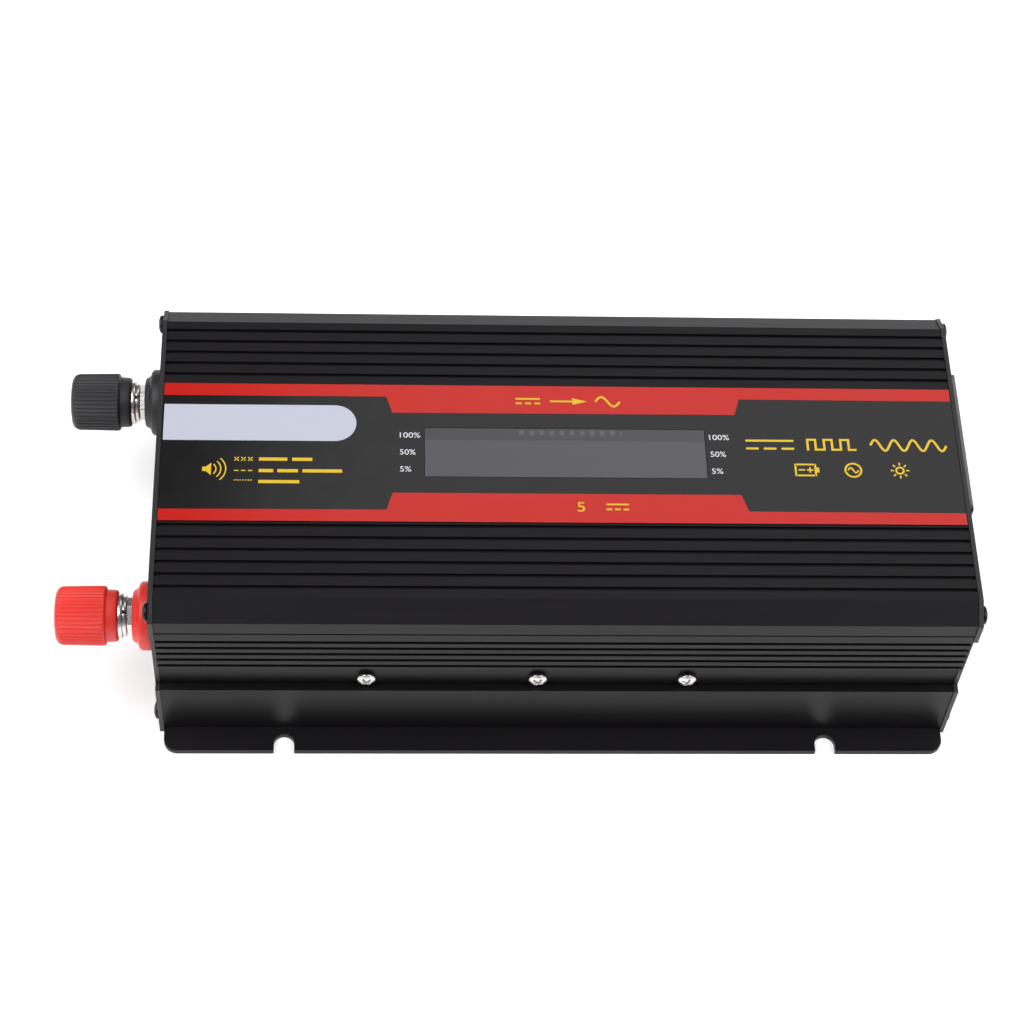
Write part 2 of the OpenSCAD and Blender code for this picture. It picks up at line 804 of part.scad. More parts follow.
module display_spacers() {
    color("#d9d6cc") at_window(roof_z - display_t)
        for (sx = [-1, 1], sy = [-1, 1])
            translate([sx * (display_board_l / 2 - 3), sy * (display_board_w / 2 - 3.5), 0])
                cylinder(r = spacer_r, h = display_t);
}

// A flat cable that drops from the display board to the main board.
module display_ribbon() {
    color("#9a9aa0") block([ribbon_x - ribbon_t, -ribbon_w / 2, board_top], [ribbon_x, ribbon_w / 2, display_board_z]);
}

// ---------- AC socket ----------

module at_socket() {
    translate([0, socket_y, socket_z]) children();
}

// The bevelled square front of the socket, as the overlap of a rounded plate and two bevelled bars.
module socket_front() {
    h = socket_w / 2;
    x0 = plate_x;
    x1 = plate_x + socket_proud;
    intersection() {
        translate([x0, 0, 0]) rotate([0, 90, 0]) rounded_block(socket_w, socket_w, socket_proud, socket_corner_r);
        translate([0, 0, -h]) linear_extrude(height = socket_w)
            polygon([[x0, -h], [x1 - socket_bevel, -h], [x1, -h + socket_bevel], [x1, h - socket_bevel],
                [x1 - socket_bevel, h], [x0, h]]);
        rotate([90, 0, 0]) translate([0, 0, -h]) linear_extrude(height = socket_w)
            polygon([[x0, -h], [x1 - socket_bevel, -h], [x1, -h + socket_bevel], [x1, h - socket_bevel],
                [x1 - socket_bevel, h], [x0, h]]);
    }
}

module ac_socket_face() {
    color("#1a1a1c") at_socket() difference() {
        union() {
            socket_front();
            rod_x(socket_back_x, plate_x + eps, 0, 0, socket_cup_r);
        }
        difference() {
            rod_x(socket_in_x, plate_x + socket_proud + 1, 0, 0, recess_d / 2);
            for (s = [-1, 1]) block([socket_in_x - 1, s * recess_d / 2 - 2.2, -2.7],
                [plate_x + socket_proud - 1.2, s * recess_d / 2 + 2.2, 2.7]);
        }
        for (s = [-1, 1]) {
            rod_x(socket_back_x - 1, socket_in_x + 1, s * pin_pitch / 2, 0, pin_hole_d / 2);
            block([socket_back_x - 1, -strap_w / 2 - 0.3, s * strap_z - 0.6],
                [socket_in_x + 1, strap_w / 2 + 0.3, s * strap_z + 0.6]);
        }
    }
}

module ac_socket_back() {
    x0 = socket_back_x - socket_back_l;
    wall = 1.5;
    color("#202023") at_socket() difference() {
        block([x0, -socket_back_y, -socket_back_z], [socket_back_x, socket_back_y, socket_back_z]);
        block([x0 + wall, wall - socket_back_y, wall - socket_back_z],
            [socket_back_x + 1, socket_back_y - wall, socket_back_z - wall]);
        for (s = [-1, 1]) rod_x(x0 - 1, x0 + wall + 1, s * pin_pitch / 2, 0, 2.2);
    }
}

module ac_socket_sleeves() {
    x0 = socket_back_x - socket_back_l + 1.5;
    color("#c9a24a") at_socket() for (s = [-1, 1]) translate([0, s * pin_pitch / 2, 0]) difference() {
        rod_x(x0, socket_back_x, 0, 0, sleeve_r);
        rod_x(x0 + 4, socket_back_x + 1, 0, 0, pin_hole_d / 2 - 0.15);
        block([x0 + 4, -0.4, 0], [socket_back_x + 1, 0.4, 2 * sleeve_r]);
    }
}

// The earth strap: a bar across the back of the cup with two spring arms inside the recess.
module ac_socket_earth_strap() {
    x0 = socket_back_x - strap_t;
    x1 = plate_x - 2;
    t = strap_t / 2;
    color("#c4c4c6") at_socket() rotate([90, 0, 0]) translate([0, 0, -strap_w / 2]) linear_extrude(height = strap_w)
        union() {
            translate([x0, -strap_z - t]) square([strap_t, 2 * strap_z + 2 * t]);
            for (s = [0, 1]) mirror([0, s])
                polygon([[x0, strap_z - t], [x1 - 7, strap_z - t], [x1 - 4, strap_z - t - 1.3],
                    [x1, strap_z - t], [x1, strap_z + t], [x1 - 4, strap_z + t - 1.3],
                    [x1 - 7, strap_z + t], [x0, strap_z + t]]);
        }
}

// ---------- rocker switch ----------

module at_switch() {
    translate([0, column_y, switch_z]) children();
}

module switch_body() {
    x0 = plate_x - switch_body_l;
    hole_y = rocker_half_l + 1;
    hole_z = rocker_half_h + 0.3;
    color("#19191b") at_switch() difference() {
        union() {
            block([x0, -switch_wall_y, -switch_wall_z], [plate_x, switch_wall_y, switch_wall_z]);
            translate([plate_x, 0, 0]) rotate([0, 90, 0]) rounded_block(switch_h, switch_l, switch_proud, 1);
        }
        block([switch_pivot_x - 5, -hole_y, -hole_z], [plate_x + switch_proud + 1, hole_y, hole_z]);
        translate([switch_pivot_x, 0, 0])
            cylinder(r = rocker_pin_r + rocker_pin_gap, h = 2 * switch_wall_z + 1, center = true);
    }
}

// The rocker at rest with its off end pressed in: a shallow V-shaped cap on two pivot pins.
module switch_rocker() {
    l = rocker_half_l;
    color("#27272a") at_switch() translate([switch_pivot_x, 0, 0]) rotate([0, 0, rocker_tilt]) union() {
        translate([0, 0, -rocker_half_h]) linear_extrude(height = 2 * rocker_half_h)
            polygon([[3.4, -l], [2.9, 0], [3.4, l], [0.4, l], [-1.6, 2.5], [-1.6, -2.5], [0.4, -l]]);
        cylinder(r = rocker_pin_r, h = 2 * rocker_half_h + 1.6, center = true);
    }
}

module switch_tabs() {
    x0 = plate_x - switch_body_l;
    color("#c9a24a") at_switch() for (y = [-6, 0, 6]) block([x0 - 7, y - 0.4, -2.3], [x0, y + 0.4, 2.3]);
}

// ---------- USB ports and indicator lamps ----------

module at_usb() {
    translate([0, column_y, usb_z]) children();
}

module usb_shell() {
    color("#c4c4c6") at_usb() difference() {
        block([usb_face_x - usb_l, -usb_w / 2, -usb_h / 2], [usb_face_x, usb_w / 2, usb_h / 2]);
        for (s = [-1, 1]) translate([usb_face_x, 0, s * usb_slot_dz])
            cube([24, usb_slot_w, usb_slot_h], center = true);
    }
}

module usb_tongues() {
    color("#e9e9ec") at_usb() for (s = [-1, 1]) translate([0, 0, s * usb_slot_dz])
        block([usb_face_x - 12, -5.5, 0.2], [usb_face_x - 1.5, 5.5, 2]);
}

module usb_board() {
    color("#1f5a35") block([usb_face_x - usb_board_l, column_y - usb_board_w / 2, usb_board_z],
        [end_x - 0.8, column_y + usb_board_w / 2, usb_board_z + board_t]);
}

module usb_board_spacers() {
    color("#c9a24a") for (s = [-1, 1])
        translate([usb_face_x - usb_board_l + 4, column_y + s * 8, floor_t])
            cylinder(r = 3, h = usb_board_z - floor_t, $fn = 6);
}

// An indicator lamp on two leads that stand on the USB board.
module led(side) {
    color_z = usb_board_z + board_t;
    translate([0, column_y + side * led_dy, 0]) union() {
        rod_x(led_in_x, plate_x + 0.4, 0, led_z, led_r);
        rod_x(led_in_x, end_x - 0.3, 0, led_z, led_r + 0.4);
        translate([plate_x + 0.4, 0, led_z]) sphere(r = led_r);
        for (s = [-1, 1]) {
            block([led_in_x - 2, s * 0.8 - 0.25, led_z - 0.25], [led_in_x + eps, s * 0.8 + 0.25, led_z + 0.25]);
            block([led_in_x - 2, s * 0.8 - 0.25, color_z], [led_in_x - 1.5, s * 0.8 + 0.25, led_z]);
        }
    }
}

module power_led() { color("#3ccf5a", 0.8) led(1); }
module fault_led() { color("#e0382e", 0.8) led(-1); }

// ---------- main board ----------

module board_screw_places() {
    for (x = board_screw_x, y = [-board_screw_y, board_screw_y]) translate([x, y, 0]) children();
}

module main_board() {
    color("#1f5a35") difference() {
        block([board_x0, -board_w / 2, board_z], [board_x1, board_w / 2, board_top]);
        board_screw_places() translate([0, 0, board_z - 1]) cylinder(r = 1.6, h = board_t + 2);
    }
}

module board_spacers() {
    color("#c9a24a") board_screw_places() difference() {
        translate([0, 0, floor_t]) cylinder(r = 3.2, h = board_z - floor_t, $fn = 6);
        translate([0, 0, floor_t + 1]) cylinder(r = 1.5, h = board_z);
    }
}

module board_screws() {
    color("#c9c9cc") board_screw_places() translate([0, 0, board_top]) pan_screw(2.7, 1.8, 1.4, 5);
}

module at_transformers() {
    for (s = [-1, 1]) translate([transformer_x, s * transformer_y, board_top]) children();
}

module transformer_bobbins() {
    color("#2c2c30") at_transformers()
        block([-bobbin_l / 2, -coil_w / 2, 0], [bobbin_l / 2, coil_w / 2, bobbin_t]);
}

module transformer_cores() {
    color("#3b3b3f") at_transformers() difference() {
        block([-core_l / 2, -core_w / 2, bobbin_t], [core_l / 2, core_w / 2, transformer_h]);
        for (s = [-1, 1])
            translate([s * (core_l / 2 - core_leg - core_bore / 2), 0, (bobbin_t + transformer_h) / 2])
                cube([core_bore, core_w + 2, transformer_h - bobbin_t - 2 * window_h], center = true);
    }
}

module transformer_windings() {
    z0 = bobbin_t + window_h;
    z1 = transformer_h - window_h;
    x1 = core_l / 2 - core_leg;
    color("#d8b13a") at_transformers() difference() {
        block([-x1, -coil_w / 2, z0], [x1, coil_w / 2, z1]);
        block([core_bore - x1, -core_w / 2, z0 - 1], [x1 - core_bore, core_w / 2, z1 + 1]);
    }
}

// An upright electrolytic capacitor.
module capacitor(r, h) {
    rotate_extrude() polygon([[0, 0], [r, 0], [r, h - 0.6], [r - 0.6, h], [0, h]]);
}

module input_capacitors() {
    color("#2d3f7a") for (i = [-1.5:1:1.5]) translate([input_cap_x, i * input_cap_dy, board_top])
        capacitor(input_cap_d / 2, input_cap_h);
}

module bus_capacitor() {
    color("#25252a") translate([output_x, output_y, board_top]) capacitor(bus_cap_d / 2, bus_cap_h);
}

module output_choke() {
    color("#b87040") translate([output_x, -output_y, board_top]) difference() {
        cylinder(r = choke_r, h = choke_h);
        translate([0, 0, -1]) cylinder(r = choke_bore_r, h = choke_h + 2);
    }
}

module blade_fuses() {
    color("#d98a2b") for (y = [-fuse_dy, 0, fuse_dy]) translate([fuse_x, y, board_top]) union() {
        block([-fuse_t / 2, -fuse_w / 2, fuse_lift], [fuse_t / 2, fuse_w / 2, fuse_h]);
        for (s = [-1, 1]) translate([0, s * fuse_blade_dy, 0])
            block([-fuse_blade_t / 2, -fuse_blade_w / 2, 0], [fuse_blade_t / 2, fuse_blade_w / 2, fuse_lift + eps]);
    }
}

// A power transistor against the front wall: a moulded body, a metal tab and three leads.
module transistor() {
    z1 = transistor_z + 9;
    y0 = -tab_y;
    union() {
        block([-transistor_w / 2, y0, transistor_z], [transistor_w / 2, y0 + transistor_t, z1]);
        difference() {
            block([-transistor_w / 2, y0, z1 - eps], [transistor_w / 2, y0 + 1.3, z1 + 6.5]);
            translate([0, y0, z1 + 3.5]) rotate([90, 0, 0]) cylinder(r = 1.8, h = 6, center = true);
        }
        for (x = [-2.54, 0, 2.54])
            block([x - 0.4, y0 + 2.2, board_top], [x + 0.4, y0 + 2.7, transistor_z + eps]);
    }
}

module power_transistors() {
    color("#2a2a2c") both_sides() for (x = clamp_x, s = [-1, 1]) translate([x + s * transistor_dx, 0, 0]) transistor();
}

module insulating_pads() {
    color("#8fa3a0") both_sides() for (x = clamp_x) difference() {
        block([x - 17, -cover_in_y, transistor_z - 0.3], [x + 17, -tab_y, transistor_z + 16]);
        translate([x, -tab_y, clamp_z]) rotate([90, 0, 0]) cylinder(r = clamp_r + 0.3, h = 6, center = true);
    }
}

module clamp_bars() {
    color("#9c9ca0") both_sides() for (x = clamp_x) difference() {
        block([x - bar_l / 2, -bar_y, clamp_z - 4.5], [x + bar_l / 2, -bar_y + bar_t, clamp_z + 4.5]);
        translate([x, -bar_y, clamp_z]) rotate([90, 0, 0]) cylinder(r = clamp_r, h = 8, center = true);
    }
}

// The small parts near the socket end of the main board: film capacitors, chips, a buzzer and a header.
module control_parts() {
    color("#3a3a3f") translate([0, 0, board_top]) {
        for (s = [-1, 1]) translate([film_cap_x, s * (film_cap_w + 4), 0])
            block([-film_cap_l / 2, -film_cap_w / 2, 0], [film_cap_l / 2, film_cap_w / 2, film_cap_h]);
        for (s = [-1, 1]) translate([chip_x, s * (chip_l + 2), 0])
            block([-chip_l / 2, -chip_l / 2, 0], [chip_l / 2, chip_l / 2, chip_h]);
        translate([chip_x, -4 * buzzer_r, 0]) cylinder(r = buzzer_r, h = buzzer_h);
        translate([chip_x, 6 * small_cap_r, 0]) capacitor(small_cap_r, small_cap_h);
    }
}

// ---------- AC wires ----------

// Points of a smooth curve through the given points, by Catmull-Rom pieces.
function curve_point(p, i, t) =
    let (a = p[max(i - 1, 0)], b = p[i], c = p[i + 1], d = p[min(i + 2, len(p) - 1)])
    0.5 * ((2 * b) + (c - a) * t + (2 * a - 5 * b + 4 * c - d) * t * t + (3 * b - a - 3 * c + d) * t * t * t);

function smooth(p, n) = concat([for (i = [0:len(p) - 2], k = [0:n - 1]) curve_point(p, i, k / n)],
    [p[len(p) - 1]]);

function unit(v) = v / norm(v);

// A round tube along a list of points, with a ring of corners at each point.
module tube(path, r, sides = 8) {
    last = len(path) - 1;
    side_ref = unit([0.31, 0.55, 0.2]);
    rings = [for (i = [0:last])
        let (t = unit(path[min(i + 1, last)] - path[max(i - 1, 0)]), u = unit(cross(t, side_ref)), v = cross(t, u))
        for (k = [0:sides - 1]) path[i] + r * (cos(360 * k / sides) * u + sin(360 * k / sides) * v)];
    walls = [for (i = [0:last - 1], k = [0:sides - 1])
        let (a = i * sides + k, b = i * sides + (k + 1) % sides) [a, a + sides, b + sides, b]];
    polyhedron(points = rings, faces = concat(walls, [[for (k = [0:sides - 1]) k]],
        [[for (k = [sides - 1:-1:0]) last * sides + k]]));
}

wire_r = 1.2;
wire_gap = 0.05;
wire_foot_gap = 0.3;

module ac_wires() {
    x1 = socket_back_x - socket_back_l - wire_gap;
    color("#6b4a2e") for (s = [-1, 1]) {
        y1 = socket_y + s * pin_pitch / 2;
        z0 = board_top + wire_foot_gap;
        y0 = s * 22 + 4;
        tube(smooth([[wire_start_x, y0, z0], [wire_start_x, y0, z0 + 9], [wire_start_x + 10, y1 + s * 2, z0 + 15],
            [x1 - 6, y1, socket_z], [x1, y1, socket_z]], 5), wire_r);
    }
}

// ---------- nodes ----------

top_cover();
base_tray();
dc_end_plate();
ac_end_plate();
end_plate_screws();
clamp_screws();
fan_frame();
fan_rotor();
fan_screws();
fan_nuts();
positive_post_base();
negative_post_base();
positive_stud();
negative_stud();
post_seat_nuts();
post_insulators();
post_inner_nuts();
positive_knob();
negative_knob();
positive_plain_washer();
negative_plain_washer();
positive_spring_washer();
negative_spring_washer();
positive_busbar();
negative_busbar();
panel_overlay();
rating_sticker();
display_window();
display_module();
display_board();
display_spacers();
display_ribbon();
ac_socket_face();
ac_socket_back();
ac_socket_sleeves();
ac_socket_earth_strap();
switch_body();
switch_rocker();
switch_tabs();
usb_shell();
usb_tongues();
usb_board();
usb_board_spacers();
power_led();
fault_led();
main_board();
board_spacers();
board_screws();
transformer_bobbins();
transformer_cores();
transformer_windings();
input_capacitors();
bus_capacitor();
output_choke();
blade_fuses();
power_transistors();
insulating_pads();
clamp_bars();
control_parts();
ac_wires();
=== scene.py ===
# %% [markdown]
# # A power inverter, from bare solids to a finished picture
# The engineering model of the inverter is already made: every shell, screw and board is a solid at its real
# size. This notebook dresses it. Each step says what a piece or a finish is on the real object, how it
# could be made in Blender, and why one way was chosen. Everything is in metres, with X along the case, Z up
# and the origin in the middle of the flat underside.

# %% Load the model as a fixed frame
import math

import bpy
import numpy as np
from mathutils import Matrix, Vector


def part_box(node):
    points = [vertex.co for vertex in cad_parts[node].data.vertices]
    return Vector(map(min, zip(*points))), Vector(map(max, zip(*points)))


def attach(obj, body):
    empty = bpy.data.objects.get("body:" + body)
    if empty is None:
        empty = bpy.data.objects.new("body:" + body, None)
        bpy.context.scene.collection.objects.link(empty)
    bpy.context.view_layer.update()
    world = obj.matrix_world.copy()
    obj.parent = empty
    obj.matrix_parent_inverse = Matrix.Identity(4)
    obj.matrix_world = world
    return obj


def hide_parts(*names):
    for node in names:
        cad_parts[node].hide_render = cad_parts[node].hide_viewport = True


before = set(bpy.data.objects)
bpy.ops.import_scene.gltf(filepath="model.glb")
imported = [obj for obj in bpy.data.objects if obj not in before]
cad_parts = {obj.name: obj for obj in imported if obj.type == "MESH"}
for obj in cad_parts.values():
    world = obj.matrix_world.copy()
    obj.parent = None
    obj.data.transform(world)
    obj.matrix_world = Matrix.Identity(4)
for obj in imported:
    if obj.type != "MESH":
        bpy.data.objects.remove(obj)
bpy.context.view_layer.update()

MM = 0.001
TURN = 2 * math.pi


def box_mm(node):
    """The lowest and highest corner of a solid, in millimetres."""
    low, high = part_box(node)
    return np.array(low) / MM, np.array(high) / MM


case_low, case_high = box_mm("top_cover")
print("cover from", case_low.round(2), "to", case_high.round(2), "mm")

# %% [markdown]
# ## The camera
# A product picture of a flat, wide object is taken from high up with a long lens, so that its edges stay
# almost parallel. A camera can be aimed with a constraint, but three plain angles and a place are easier to
# read: how far it looks down, how far it is turned to the side, and how much it is tilted about its own
# axis.

# %% Place the camera
LENS_MM = 93.567
SENSOR_MM = 36.0
LOOK_DOWN = math.radians(56.672)
TURN_SIDE = math.radians(6.024)
TILT = math.radians(-5.396)
CAMERA_PLACE = Vector((-50.95, -374.28, 603.79)) * MM


def camera_axes(down, side, tilt):
    """Right, up and backward vectors of a camera: look along (sin side, cos side) lowered by the angle down,
    take right level with the ground, then turn right and up about the view by tilt."""
    forward = Vector((math.sin(side) * math.cos(down), math.cos(side) * math.cos(down), -math.sin(down)))
    level = Vector((math.cos(side), -math.sin(side), 0.0))
    below = forward.cross(level)
    right = level * math.cos(tilt) + below * math.sin(tilt)
    lower = below * math.cos(tilt) - level * math.sin(tilt)
    return right, -lower, -forward


camera_data = bpy.data.cameras.new("camera")
camera_data.lens = LENS_MM
camera_data.sensor_width = SENSOR_MM
camera_data.clip_start = 0.01
camera = bpy.data.objects.new("camera", camera_data)
bpy.context.collection.objects.link(camera)
axes = Matrix(camera_axes(LOOK_DOWN, TURN_SIDE, TILT)).transposed()
camera.matrix_world = Matrix.Translation(CAMERA_PLACE) @ axes.to_4x4()
bpy.context.scene.camera = camera
print("camera is", round(camera.location.length, 3), "m from the middle of the base")

# %% [markdown]
# ## Tools for surfaces
# Most new pieces here are turned or swept: a grid of points in two directions, worked out as one array. A
# single helper turns such a grid into a closed mesh, and a second one repeats a finished mesh at many
# places, which is how a row of screws becomes one object.

# %% From a grid of points to a mesh
def grid_mesh(points, cap_first=True, cap_last=True):
    """Vertices and faces of a grid of shape (rows, columns, 3). Neighbouring points make quads, the columns
    join up in a ring, and each end row can be closed by a fan round its own middle."""
    rows, columns, _ = points.shape
    vertices = points.reshape(-1, 3)
    row, column = np.meshgrid(np.arange(rows - 1), np.arange(columns), indexing="ij")
    after = (column + 1) % columns
    first = row * columns
    quads = np.stack([first + column, first + after, first + columns + after, first + columns + column], -1)
    faces = [tuple(q) for q in quads.reshape(-1, 4).tolist()]
    ring = np.arange(columns)
    for use, start, flip in ((cap_first, 0, True), (cap_last, (rows - 1) * columns, False)):
        if not use:
            continue
        middle = len(vertices)
        vertices = np.vstack([vertices, vertices[start:start + columns].mean(axis=0)])
        pair = np.stack([start + ring, start + (ring + 1) % columns], -1)
        pair = pair[:, ::-1] if flip else pair
        faces += [(a, b, middle) for a, b in pair.tolist()]
    return vertices, faces


def add_piece(name, parts, material, body="case", smooth=True, replaces=()):
    """One object from several (vertices in mm, faces) pairs, riding on a body, at the origin."""
    vertices, faces, count = [], [], 0
    for some, some_faces in parts:
        vertices.append(np.asarray(some) * MM)
        faces += [tuple(i + count for i in face) for face in some_faces]
        count += len(some)
    mesh = bpy.data.meshes.new(name)
    mesh.from_pydata(np.vstack(vertices).tolist(), [], faces)
    mesh.polygons.foreach_set("use_smooth", [smooth] * len(mesh.polygons))
    mesh.materials.append(material)
    mesh.validate()
    mesh.update()
    piece = bpy.data.objects.new(name, mesh)
    bpy.context.collection.objects.link(piece)
    if replaces:
        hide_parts(*replaces)
    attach(piece, body)


def placed(shape, matrix):
    """A copy of a (vertices, faces) pair moved by a 4x4 matrix, in millimetres."""
    vertices, faces = shape
    m = np.array(matrix)
    moved = np.asarray(vertices) @ m[:3, :3].T + m[:3, 3]
    return moved, faces


def aimed(place, direction, spin=0.0):
    """A 4x4 matrix that takes +Z to a direction, spun about it, and the origin to a place in mm."""
    turn = Vector(direction).to_track_quat("Z", "Y").to_matrix().to_4x4()
    return Matrix.Translation(Vector(place)) @ turn @ Matrix.Rotation(spin, 4, "Z")


# %% [markdown]
# ## Tools for finishes
# A finish is a Principled shader with small changes fed into it: a fine bump for grain, and a little
# unevenness in roughness, because no real surface is as even as a number. All patterns read object
# coordinates, in metres, so a pattern of half a millimetre needs a scale of 2000.

# %% Colours, nodes and a base finish
def linear(code):
    """An sRGB hex colour as linear RGBA: c / 12.92 in the dark end, ((c + 0.055) / 1.055) ^ 2.4 above it."""
    values = [int(code[i:i + 2], 16) / 255 for i in (1, 3, 5)]
    return [v / 12.92 if v <= 0.04045 else ((v + 0.055) / 1.055) ** 2.4 for v in values] + [1.0]


def add(tree, kind, links=None, **settings):
    """Adds a shader node. links gives its inputs, each a plain value or another node's output; the other
    names are the node's own settings."""
    node = tree.nodes.new("ShaderNode" + kind)
    for key, value in settings.items():
        setattr(node, key, value)
    for key, value in (links or {}).items():
        if isinstance(value, bpy.types.NodeSocket):
            tree.links.new(value, node.inputs[key])
        else:
            node.inputs[key].default_value = value
    return node


def finish(name, colour, roughness, metallic=0.0, **sockets):
    """A new material with a Principled shader: returns it with its node tree and its shader."""
    material = bpy.data.materials.new(name)
    material.use_nodes = True
    tree = material.node_tree
    shader = tree.nodes["Principled BSDF"]
    shader.inputs["Base Color"].default_value = linear(colour)
    shader.inputs["Roughness"].default_value = roughness
    shader.inputs["Metallic"].default_value = metallic
    for key, value in sockets.items():
        shader.inputs[key.replace("_", " ")].default_value = value
    return material, tree, shader


GRAIN_DETAIL = 3.0
MIDDLE_OF_NOISE = 0.3, 0.7


def roughen(tree, shader, size_mm, depth_mm, low, high, stretch=(1, 1, 1)):
    """Adds grain: noise whose grains are size_mm across, stretched per axis, moves the surface by depth_mm
    and moves the roughness between low and high."""
    where = add(tree, "TexCoord").outputs["Object"]
    scale = [1 / (size_mm * MM * s) for s in stretch]
    mapped = add(tree, "Mapping", {"Vector": where, "Scale": scale})
    noise = add(tree, "TexNoise", {"Vector": mapped.outputs[0], "Scale": 1.0, "Detail": GRAIN_DETAIL})
    fac = noise.outputs["Fac"]
    bump = add(tree, "Bump", {"Height": fac, "Strength": 1.0, "Distance": depth_mm * MM})
    tree.links.new(bump.outputs[0], shader.inputs["Normal"])
    spread = add(tree, "MapRange", {"Value": fac, "From Min": MIDDLE_OF_NOISE[0],
        "From Max": MIDDLE_OF_NOISE[1], "To Min": low, "To Max": high})
    tree.links.new(spread.outputs[0], shader.inputs["Roughness"])


# %% [markdown]
# ## Black anodised aluminium
# The cover and the base are extrusions: aluminium pushed through a die, so very fine lines run along X.
# Anodising dyes its oxide skin black and leaves it satin. The dyed skin hides most of the metal, so the
# finish is nearly black, hardly metallic and weak in its reflection. Long thin noise gives the die lines,
# drawn coarser than the real ones so that they show.

# %% Anodised extrusion
anodised, tree, shader = finish("black_anodised_aluminium", "#1A181A", 0.38, metallic=0.08,
    Specular_IOR_Level=0.14)
roughen(tree, shader, 0.35, 0.0022, stretch=(120, 1, 1), low=0.30, high=0.42)

# %% [markdown]
# ## Painted sheet, black zinc and bright nickel
# The end plates are stamped sheet under black powder paint, whose skin has a gentle orange-peel. Their
# screws are black zinc: a dark metal, smoother than paint. The clamp screws, washers and nuts are bright
# plated steel.

# %% Sheet paint and screw platings
powder_paint, tree, shader = finish("black_powder_paint", "#1D1C1E", 0.46)
roughen(tree, shader, 0.45, 0.010, low=0.40, high=0.52)

black_zinc, tree, shader = finish("black_zinc_steel", "#2B2A2D", 0.30, metallic=0.85)
roughen(tree, shader, 0.30, 0.0040, low=0.24, high=0.40)

bright_plate, tree, shader = finish("bright_plated_steel", "#D6D3CF", 0.22, metallic=1.0)
roughen(tree, shader, 0.25, 0.0030, stretch=(1, 1, 3), low=0.16, high=0.32)

# %% [markdown]
# ## Moulded plastics
# The knobs and their bases are moulded ABS with a fine spark-eroded texture, red for plus and black for
# minus. The red is bright and a little translucent, which a weak subsurface gives. The fan, the switch and
# the socket are nylon or polycarbonate in black, each with its own gloss.

# %% Plastics
red_abs, tree, shader = finish("red_moulded_abs", "#E9352C", 0.42, Subsurface_Weight=0.08,
    Subsurface_Scale=0.002)
roughen(tree, shader, 0.22, 0.006, low=0.36, high=0.50)

black_abs, tree, shader = finish("black_moulded_abs", "#2A292C", 0.52)
roughen(tree, shader, 0.22, 0.007, low=0.46, high=0.58)

fan_pbt, tree, shader = finish("black_fan_pbt", "#1A1A1C", 0.44)
roughen(tree, shader, 0.30, 0.005, low=0.38, high=0.52)

socket_pc, tree, shader = finish("black_socket_polycarbonate", "#1E1D20", 0.30)
roughen(tree, shader, 0.50, 0.003, low=0.26, high=0.36)

white_nylon, tree, shader = finish("natural_nylon", "#D9D5C9", 0.50)
roughen(tree, shader, 0.40, 0.004, low=0.44, high=0.56)

white_carrier, tree, shader = finish("white_contact_carrier", "#ECECEE", 0.38)
roughen(tree, shader, 0.30, 0.002, low=0.34, high=0.44)

fibre_board, tree, shader = finish("pale_fibre_board", "#DCD4BE", 0.66)
roughen(tree, shader, 0.35, 0.010, stretch=(1, 4, 1), low=0.6, high=0.74)

# %% [markdown]
# ## Copper, brass, ferrite and the rest of the inside
# Nobody sees the inside until the cover comes off, but every part still gets the finish that it has: tinned
# green board, sintered ferrite, yellow polyester tape over the windings, shrink sleeves on the capacitors.

# %% Inner metals
copper, tree, shader = finish("bare_copper", "#C9825A", 0.30, metallic=1.0)
roughen(tree, shader, 0.40, 0.003, stretch=(6, 1, 1), low=0.24, high=0.42)

brass, tree, shader = finish("turned_brass", "#D0AC5C", 0.26, metallic=1.0)
roughen(tree, shader, 0.15, 0.002, stretch=(1, 1, 8), low=0.2, high=0.34)

mill_steel, tree, shader = finish("mill_finish_steel", "#9C9B9D", 0.38, metallic=1.0)
roughen(tree, shader, 0.20, 0.003, stretch=(10, 1, 1), low=0.3, high=0.46)

# %% Inner mouldings and coatings
ferrite, tree, shader = finish("sintered_ferrite", "#3A393D", 0.55, metallic=0.2)
roughen(tree, shader, 0.25, 0.012, low=0.48, high=0.64)

moulding_compound, tree, shader = finish("chip_moulding_compound", "#232225", 0.58)
roughen(tree, shader, 0.12, 0.004, low=0.52, high=0.66)

grey_silicone, tree, shader = finish("grey_silicone_pad", "#8C9A98", 0.70)
roughen(tree, shader, 0.60, 0.010, low=0.64, high=0.78)

fuse_orange, tree, shader = finish("orange_fuse_body", "#E07A1E", 0.22, Transmission_Weight=0.35)
roughen(tree, shader, 1.50, 0.004, low=0.18, high=0.28)

wire_pvc, tree, shader = finish("brown_wire_pvc", "#6A4228", 0.40)
roughen(tree, shader, 0.80, 0.006, low=0.34, high=0.46)

ribbon_pvc, tree, shader = finish("grey_ribbon_pvc", "#A9A9AE", 0.45)
roughen(tree, shader, 0.60, 0.060, stretch=(1, 1, 400), low=0.4, high=0.5)

# %% Green circuit board, with its traces just visible under the mask
TRACE_RELIEF = 0.03 * MM
board_green, tree, shader = finish("green_solder_mask", "#14502B", 0.30)
where = add(tree, "TexCoord").outputs["Object"]
lanes = add(tree, "Mapping", {"Vector": where, "Scale": (260, 420, 260)})
traces = add(tree, "TexBrick", {"Vector": lanes.outputs[0], "Scale": 1.0, "Mortar Size": 0.08,
    "Color1": linear("#1B6236"), "Color2": linear("#185A31"), "Mortar": linear("#0E3F21")})
tree.links.new(traces.outputs["Color"], shader.inputs["Base Color"])
relief = add(tree, "Bump", {"Height": traces.outputs["Fac"], "Strength": 1.0, "Distance": TRACE_RELIEF})
tree.links.new(relief.outputs[0], shader.inputs["Normal"])

